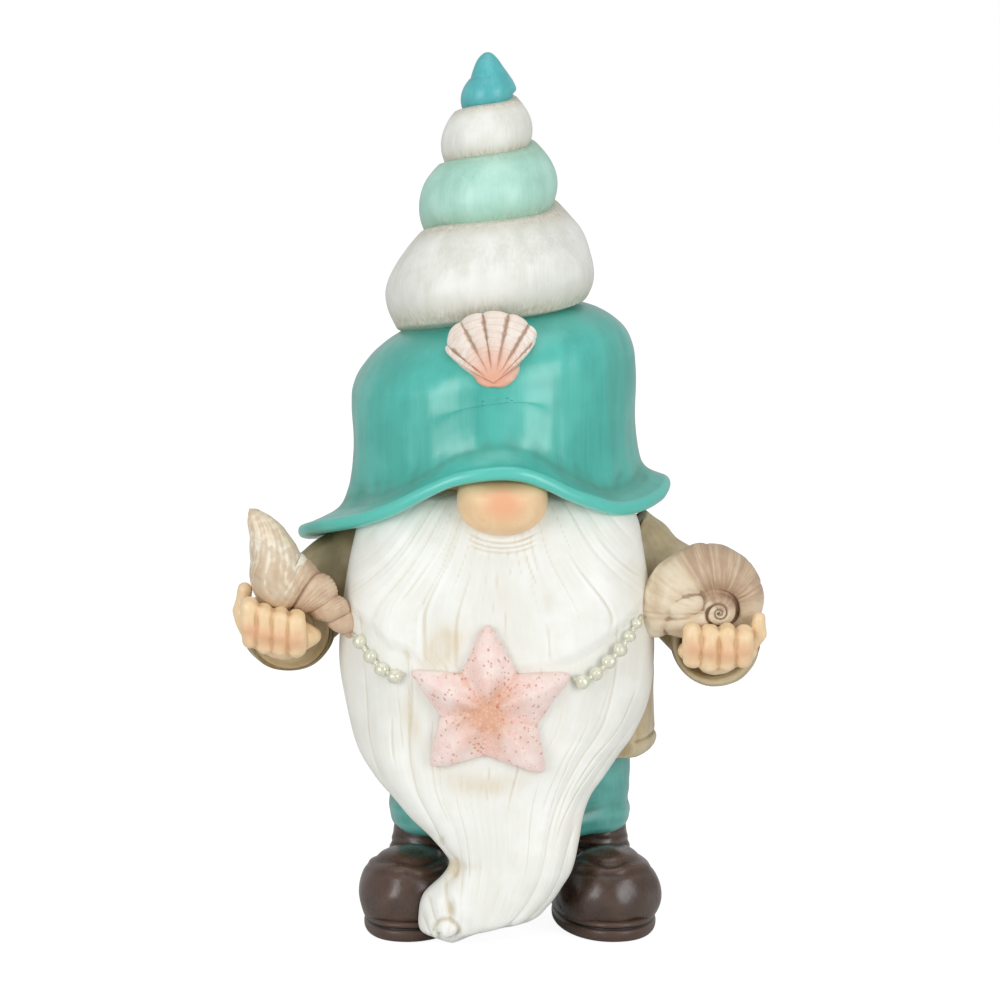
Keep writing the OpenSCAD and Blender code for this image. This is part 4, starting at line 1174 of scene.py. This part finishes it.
def build_hand(name, fingers, palm, wrist, thumb, finish, node):
    """Palm up, four plump fingers curled up at the front, thumb on the outer side."""
    def forms(bm):
        for x, low_z, top_z, r in fingers:
            add_limb(bm, [(x * 0.97 + palm[0] * 0.03, palm[1] - 6.5, low_z - 2.0, r * 0.98),
                          (x, -42.4, low_z + 2.2, r), (x, -42.6, top_z - r * 1.25, r * 0.96),
                          (x, -40.6, top_z - r * 1.0, r * 0.92)])
        add_ball(bm, palm[:3], palm[3:6])
        add_limb(bm, [(*wrist, 8.2), (palm[0], palm[1] + 4, palm[2] - 0.5, 8.4)])
        add_limb(bm, thumb)

    mesh = remeshed(name, forms, 0.42, 5)
    points = points_of(mesh)
    clefts = np.zeros(len(points))
    rosy = np.zeros(len(points))
    for (xa, la, *_), (xb, lb, *_) in zip(fingers[:-1], fingers[1:]):
        x = (xa + xb) / 2
        low_z = (la + lb) / 2
        clefts += hill(points[:, 0], x, 0.55) * soft(points[:, 2], low_z - 2.4, low_z + 0.6)
    for x, low_z, *_ in fingers:
        rosy += hill(points[:, 0], x, 2.8) * hill(points[:, 2], low_z + 1.4, 3.2)
    front = soft(-points[:, 1], 38, 41)
    push(mesh, -0.12 * clefts * front + 0.16 * lumps(points, 4, 101))
    keep(mesh, "rosy", np.clip(rosy * front, 0, 1))
    cast(mesh, finish, node)


def build_hands():
    finish = hand_paint()
    build_hand("right_palm_and_fingers",
               [(-83.7, 104.0, 116.6, 3.2), (-78.8, 102.2, 114.4, 3.3), (-73.6, 101.4, 113.2, 3.35),
                (-68.2, 100.8, 112.4, 3.4)],
               (-73.5, -34.0, 102.0, 13.2, 9.6, 6.0), (-72, -17, 101.5),
               [(-84.5, -33, 104, 3.6), (-87.0, -31, 110, 3.0), (-85.6, -33, 117.2, 2.3)],
               finish, "right_hand")
    build_hand("left_palm_and_fingers",
               [(62.8, 97.6, 107.7, 3.4), (68.6, 96.4, 107.6, 3.4), (74.4, 96.2, 107.7, 3.4),
                (79.9, 97.2, 107.2, 3.3)],
               (71.6, -34.0, 96.8, 13.4, 9.6, 5.6), (71.5, -17, 97),
               [(81.0, -34, 98.5, 3.6), (84.8, -37, 103.5, 3.0), (85.0, -38, 108.4, 2.3)],
               finish, "left_hand")


# ---- the sleeves ---------------------------------------------------------------------------------

def build_sleeve(name, side, cuff, finish, node):
    """Full sleeve from the shoulder, bent at the elbow, with a turned cuff."""
    root = np.array([side * 38 + 1.25, 1, 125.5])
    elbow = cuff + np.array([-side * 4, 21, 6])
    chain = [root, blend(root, elbow, 0.45), blend(root, elbow, 0.85),
             elbow + np.array([side * 3.0, -4.5, -4]),
             cuff + np.array([side * 0.5, 8.5, 0]), cuff + np.array([0, 3.0, 0]), cuff]
    size = [(15, 17.2), (14.5, 16.4), (14.5, 15.4), (14.4, 15), (14, 14.4), (14.5, 14.5), (14.2, 14.2)]
    rows, columns = int(260 * FINE), int(180 * FINE)
    s = np.linspace(0, 1, rows + 1)
    path = through(s, chain)
    sizes = through(s, np.array(size, float))
    way = np.gradient(path, axis=0)
    way /= np.linalg.norm(way, axis=1, keepdims=True)
    flat = np.cross(way, [0, 0, 1])
    flat /= np.linalg.norm(flat, axis=1, keepdims=True)
    rise = np.cross(flat, way)
    theta = np.linspace(0, TURN, columns + 1)[None, :]
    a, b = np.cos(theta), np.sin(theta)
    bend = hill(s, 0.55, 0.2)[:, None]
    folds = 0.9 * bend * np.clip(a * -side + 0.4, 0, 1) * np.sin(s[:, None] * 34 + 1.2 * np.sin(theta))
    folds += 0.5 * hill(s, 0.2, 0.16)[:, None] * np.sin(s[:, None] * 26 + 2 * np.cos(theta + 0.6))
    band = 0.9 * soft(s, 0.885, 0.9)[:, None] * (1 - 0.6 * soft(s, 0.975, 1.0)[:, None])
    groove = -0.7 * hill(s, 0.878, 0.009)[:, None]
    body = path[:, None, :] + flat[:, None, :] * (a * (sizes[:, :1] + folds + band + groove))[..., None]
    body = body + rise[:, None, :] * (b * (sizes[:, 1:] + folds + band + groove))[..., None]
    closing = []
    for share in np.linspace(0, 1, int(16 * FINE) + 2)[:-1]:
        k = math.sin(share * math.pi / 2)
        centre = path[0] - way[0] * 1.5 * k
        closing.append(centre + (body[0] - path[0]) * k)
    ends = []
    for share, sink in ((0.97, -0.5), (0.92, -0.6), (0.86, 0.3), (0.8, 2.0), (0.74, 3.4), (0.4, 3.8),
                        (0.0, 3.8)):
        centre = path[-1] - way[-1] * sink
        ends.append(centre + (body[-1] - path[-1]) * share)
    points = np.concatenate([np.array(closing), body, np.array(ends)])
    points = raise_by(points, lumps(points, 12, 111 + side) * 0.45)
    cast(skin(name, points), finish, node)


def build_jacket(finish):
    """Long plain jacket: sloping shoulders, soft folds, a rolled hem and a flat front under the beard."""
    rows, columns = int(220 * FINE), int(300 * FINE)
    table = np.array([(0, 0.97, 0.97), (0.04, 1, 1), (0.3, 0.985, 0.96), (0.55, 0.95, 0.9),
                      (0.75, 0.86, 0.82), (0.88, 0.68, 0.7), (0.96, 0.48, 0.54)])
    share = np.linspace(0, 0.96, rows + 1)
    width = curve(share, table[:, [0, 1]]) * 50
    depth = curve(share, table[:, [0, 2]]) * 39
    cx = blend(BODY_X, 0, share)
    z = HEM + share * 90
    theta = np.linspace(0, TURN, columns + 1)[None, :]
    skirt = 1 - soft(share, 0.15, 0.62)[:, None]
    pleats = skirt * (0.6 * np.sin(theta * 7 + 0.6 * np.sin(theta * 2)) * np.clip(np.sin(theta), 0, 1)
                      + 0.25 * np.sin(theta * 11 + 1))
    vent = -1.5 * hill(np.degrees(theta), 90, 1.4) * (1 - soft(share, 0.3, 0.42)[:, None])
    hem = 0.35 * (soft(share, 0.004, 0.012) * (1 - soft(share, 0.045, 0.06)))[:, None]
    under = -0.3 * hill(share, 0.062, 0.01)[:, None]
    out = pleats + vent + hem + under
    x = cx[:, None] + (width[:, None] + out) * np.cos(theta)
    y = (depth[:, None] + out) * np.sin(theta)
    y = np.maximum(y, LANDING_Y + 0.3)
    body = place(x, y, z[:, None] + 0 * x)
    middle_line = place(cx, 0 * cx, z)[:, None, :]

    def drawn_in(row, steps):
        """Copies of one row of the jacket, each drawn in by a share and lifted."""
        rings = []
        for k, lift in steps:
            ring = middle_line[row] + (body[row] - middle_line[row]) * k
            ring[..., 2] += lift
            rings.append(ring)
        return np.array(rings)

    rolled = drawn_in(0, ((0.0, 9), (0.5, 9), (0.86, 9), (0.875, 4), (0.9, 0.8), (0.94, -0.1), (0.975, 0.0)))
    collar = drawn_in(-1, ((0.9, 0.6), (0.6, 0.9), (0.0, 1.0)))
    points = np.concatenate([rolled, body, collar])
    off_landing = soft(points[..., 1], LANDING_Y + 0.5, LANDING_Y + 4)
    points = raise_by(points, lumps(points, 18, 121) * 0.4 * off_landing)
    cast(skin("long_jacket", points), finish, "jacket")


def build_clothes():
    tan = brushed("washed_tan_cloth", rgb(201, 183, 144), rgb(215, 201, 168), rgb(180, 161, 122),
                  rgb(128, 106, 68), wash_and_shade_amount=0.75, streak=1.5, gloss=0.42, coat=0.2, relief=0.18,
                  patch=9, edge=0.45, run=7)
    build_jacket(tan)
    build_sleeve("right_arm_sleeve", -1, np.array([-72.0, -18, HEM + 43.5]), tan, "right_sleeve")
    build_sleeve("left_arm_sleeve", 1, np.array([71.5, -18, HEM + 39]), tan, "left_sleeve")


# ---- trousers, boots and soles -------------------------------------------------------------------

def build_trousers():
    """Two short legs in one casting, pinched between them, with rolled ends."""
    teal = brushed("glazed_teal_trousers", rgb(88, 172, 162), rgb(110, 190, 180), rgb(72, 156, 146),
                   rgb(58, 96, 78), wash_and_shade_amount=0.55, streak=1.2, gloss=0.36, coat=0.4, relief=0.18,
                   patch=10, edge=0.5, run=9)
    rows = []
    theta = stops(360) * TURN
    wide, deep = 41.6, 28.4
    for z, inset, pinch in ((ANKLE + 0.6, 40, 0.1), (ANKLE + 0.2, 14, 0.3), (ANKLE + 0.1, 4.6, 0.33),
                            (ANKLE + 0.5, 2.2, 0.33), (ANKLE + 2.2, 0.7, 0.32), (ANKLE + 5, 0.1, 0.30),
                            (ANKLE + 10, 0.5, 0.27), (ANKLE + 17, 0.3, 0.22), (ANKLE + 24, 0.4, 0.16),
                            (ANKLE + 30, 1.2, 0.1), (ANKLE + 36, 3.0, 0.05), (ANKLE + 37.6, 8, 0.0),
                            (ANKLE + 37.8, 40, 0.0)):
        dip = 1 - pinch * np.exp(-(np.cos(theta) / 0.26) ** 2)
        inset_x = min(inset, wide)
        inset_y = min(inset, deep)
        x = BODY_X + (wide - inset_x) * power(np.cos(theta), 0.8)
        y = 3.3 + (deep - inset_y) * power(np.sin(theta), 0.8) * dip
        rows.append(place(x, y, z))
    points = through(stops(180), rows)
    z = points[..., 2]
    low_part = 1 - soft(z, ANKLE + 8, ANKLE + 22)
    creases = 0.22 * np.sin(z * 0.8 + 3 * np.sin(points[..., 0] * 0.13)) * low_part
    creases = creases * soft(z, ANKLE + 3, ANKLE + 8)
    points = raise_by(points, creases + lumps(points, 14, 131) * 0.5)
    cast(skin("short_trousers", points), teal, "trousers")


def boot_frame(side):
    """Middle of a boot and its turned-out direction."""
    spot = middle("right_sole" if side < 0 else "left_sole")
    return spot[0], spot[1], math.radians(9) * side


def turned(points, side):
    """Points of a boot or a sole, from its own middle to where it stands."""
    x0, y0, angle = boot_frame(side)
    x = points[..., 0] * math.cos(angle) - points[..., 1] * math.sin(angle)
    y = points[..., 0] * math.sin(angle) + points[..., 1] * math.cos(angle)
    return place(x0 + x, y0 + y, points[..., 2])


def build_boot(name, side, finish, node):
    """Round-toed ankle boot: a plump toe, a low waist and a short neck under the trouser leg."""
    def forms(bm):
        turn = math.degrees(boot_frame(side)[2])
        spots = (((0, -12.4, 13.4), (17.2, 18.6, 16.2)), ((0, 9, 12.0), (15.4, 21.2, 13.6)),
                 ((0, -2, 11), (16.4, 22, 12.5)))
        for centre, radii in spots:
            here = turned(np.array(centre, float), side)
            add_ball(bm, here, radii, (0, 0, turn))
        top = turned(np.array([0, 11.5, 0.0]), side)
        add_limb(bm, [(top[0], top[1], 18, 12.5), (top[0], top[1], 27, 10.6), (top[0], top[1], 31, 10.2)])
        bmesh.ops.bisect_plane(bm, geom=bm.verts[:] + bm.edges[:] + bm.faces[:], plane_co=(0, 0, 5.0),
                               plane_no=(0, 0, -1), clear_outer=True)
        bmesh.ops.holes_fill(bm, edges=bm.edges[:])

    mesh = remeshed(name, forms, 0.55, 8)
    points = points_of(mesh)
    wrinkle = np.sin(points[:, 2] * 1.9 + 0.8 * np.sin(points[:, 0] * 0.4)) * hill(points[:, 2], 25.5, 3.2)
    front = soft(-points[:, 1], -2, 8)
    push(mesh, 0.3 * wrinkle * front + 0.3 * lumps(points, 11, 141 + side))
    cast(mesh, finish, node)


def build_sole(name, side, finish, node):
    """Thick sole: rounded tread edge, a welt line and a lip that runs round the upper."""
    theta = stops(300) * TURN
    rows = []
    for z, out in ((0.35, -17), (0.1, -6), (0.0, -2.6), (0.3, -1.1), (1.2, -0.25), (2.6, 0.1), (4.0, -0.1),
                   (4.5, -0.75), (4.9, -0.8), (5.3, -0.1), (6.0, 0.15), (6.7, -0.3), (7.1, -1.5), (6.6, -4),
                   (6.4, -17)):
        broad = 17.0 * (1 - 0.09 * soft(np.sin(theta), -0.2, 1.0))
        x = (broad + max(out, -broad.min())) * power(np.cos(theta), 0.92)
        y = (31.0 + out) * power(np.sin(theta), 0.92)
        rows.append(turned(place(x, y, z), side))
    points = through(stops(96), rows)
    points[..., 2] = np.maximum(points[..., 2], 0.0)
    cast(skin(name, points), finish, node)


def build_feet():
    leather = brushed("glossy_brown_boots", rgb(72, 51, 40), rgb(88, 65, 52), rgb(54, 37, 28),
                      rgb(28, 17, 11), wash_and_shade_amount=0.8, streak=2.4, gloss=0.28, coat=0.5, relief=0.1,
                      patch=12, edge=0.7, run=2)
    rubber = brushed("dark_brown_soles", rgb(66, 47, 38), rgb(86, 65, 53), rgb(50, 35, 27),
                     rgb(22, 14, 10), wash_and_shade_amount=0.9, streak=1.6, gloss=0.36, coat=0.25, relief=0.2,
                     patch=9, edge=0.7, run=2)
    build_boot("right_ankle_boot", -1, leather, "right_boot")
    build_boot("left_ankle_boot", 1, leather, "left_boot")
    build_sole("right_boot_sole", -1, rubber, "right_sole")
    build_sole("left_boot_sole", 1, rubber, "left_sole")


def paint_head():
    """The head stays as cast; only its skin shows under the brim."""
    finish = brushed("plain_skin_head", rgb(226, 192, 150), rgb(236, 206, 166), rgb(214, 176, 132),
                     rgb(140, 104, 66), wash_and_shade_amount=0.6, streak=2.0, gloss=0.46, coat=0.1, relief=0.12,
                     patch=9)
    for holder in bpy.data.objects["head"].material_slots:
        holder.material = finish


# ---- camera, lights and ground -------------------------------------------------------------------

def look_at(thing, target):
    way = Vector(target) - thing.location
    thing.rotation_euler = way.to_track_quat("-Z", "Y").to_euler()


def add_camera():
    aim = Vector(VIEW_AIM) * MM
    lift = math.radians(VIEW_LIFT)
    data = bpy.data.cameras.new("camera")
    data.angle = 2 * math.atan(VIEW_HALF_WIDTH / VIEW_DISTANCE)
    camera = show("camera", data)
    camera.location = aim + Vector((0, -math.cos(lift), math.sin(lift))) * (VIEW_DISTANCE * MM)
    look_at(camera, aim)
    bpy.context.scene.camera = camera


def add_softbox(name, spot, target, width, height, power):
    data = bpy.data.lights.new(name, "AREA")
    data.shape = "RECTANGLE"
    data.size = width
    data.size_y = height
    data.energy = power
    lamp = show(name, data)
    lamp.location = spot
    look_at(lamp, target)


def add_studio():
    """Two tall softboxes either side of the camera, a soft one overhead and white walls."""
    add_softbox("left_softbox", (-0.72, -0.9, 0.36), (0, 0, 0.15), 0.42, 0.8, 4.3)
    add_softbox("right_softbox", (0.72, -0.9, 0.36), (0, 0, 0.15), 0.42, 0.8, 4.3)
    add_softbox("top_softbox", (0, -0.2, 1.3), (0, 0, 0.14), 0.9, 0.9, 2.6)
    world = bpy.data.worlds.new("white_room")
    world.use_nodes = True
    tree = world.node_tree
    tree.nodes.clear()
    rays = tree.nodes.new("ShaderNodeLightPath")
    seen = tree.nodes.new("ShaderNodeBackground")
    seen.inputs["Strength"].default_value = 1.0
    fill = tree.nodes.new("ShaderNodeBackground")
    fill.inputs["Strength"].default_value = 0.52
    pick = tree.nodes.new("ShaderNodeMixShader")
    end = tree.nodes.new("ShaderNodeOutputWorld")
    for node in (seen, fill):
        node.inputs["Color"].default_value = (1, 1, 1, 1)
    tree.links.new(rays.outputs["Is Camera Ray"], pick.inputs[0])
    tree.links.new(fill.outputs[0], pick.inputs[1])
    tree.links.new(seen.outputs[0], pick.inputs[2])
    tree.links.new(pick.outputs[0], end.inputs["Surface"])
    bpy.context.scene.world = world
    bpy.context.scene.view_settings.view_transform = "Standard"


def add_ground():
    """White table that is even where the camera sees it and takes soft shade."""
    bm = bmesh.new()
    bmesh.ops.create_grid(bm, x_segments=2, y_segments=2, size=6)
    mesh = bpy.data.meshes.new("ground")
    bm.to_mesh(mesh)
    bm.free()
    ground = show("ground", mesh)
    ground.location = (0, 0, -0.0002)
    finish = bpy.data.materials.new("white_table")
    finish.use_nodes = True
    tree = finish.node_tree
    tree.nodes.clear()
    rays = tree.nodes.new("ShaderNodeLightPath")
    matt = tree.nodes.new("ShaderNodeBsdfDiffuse")
    matt.inputs["Color"].default_value = (0.8, 0.8, 0.8, 1)
    glow = tree.nodes.new("ShaderNodeEmission")
    glow.inputs["Strength"].default_value = 1.42
    share = tree.nodes.new("ShaderNodeMath")
    share.operation = "MULTIPLY"
    share.inputs[1].default_value = 0.65
    pick = tree.nodes.new("ShaderNodeMixShader")
    end = tree.nodes.new("ShaderNodeOutputMaterial")
    tree.links.new(rays.outputs["Is Camera Ray"], share.inputs[0])
    tree.links.new(share.outputs[0], pick.inputs[0])
    tree.links.new(matt.outputs[0], pick.inputs[1])
    tree.links.new(glow.outputs[0], pick.inputs[2])
    tree.links.new(pick.outputs[0], end.inputs["Surface"])
    mesh.materials.append(finish)


add_camera()
add_studio()
add_ground()
build_spire()
build_hat()
build_nose()
build_scallop()
build_beard()
build_starfish()
build_chain()
build_whelk()
build_moon_snail()
build_hands()
build_clothes()
build_trousers()
build_feet()
paint_head()
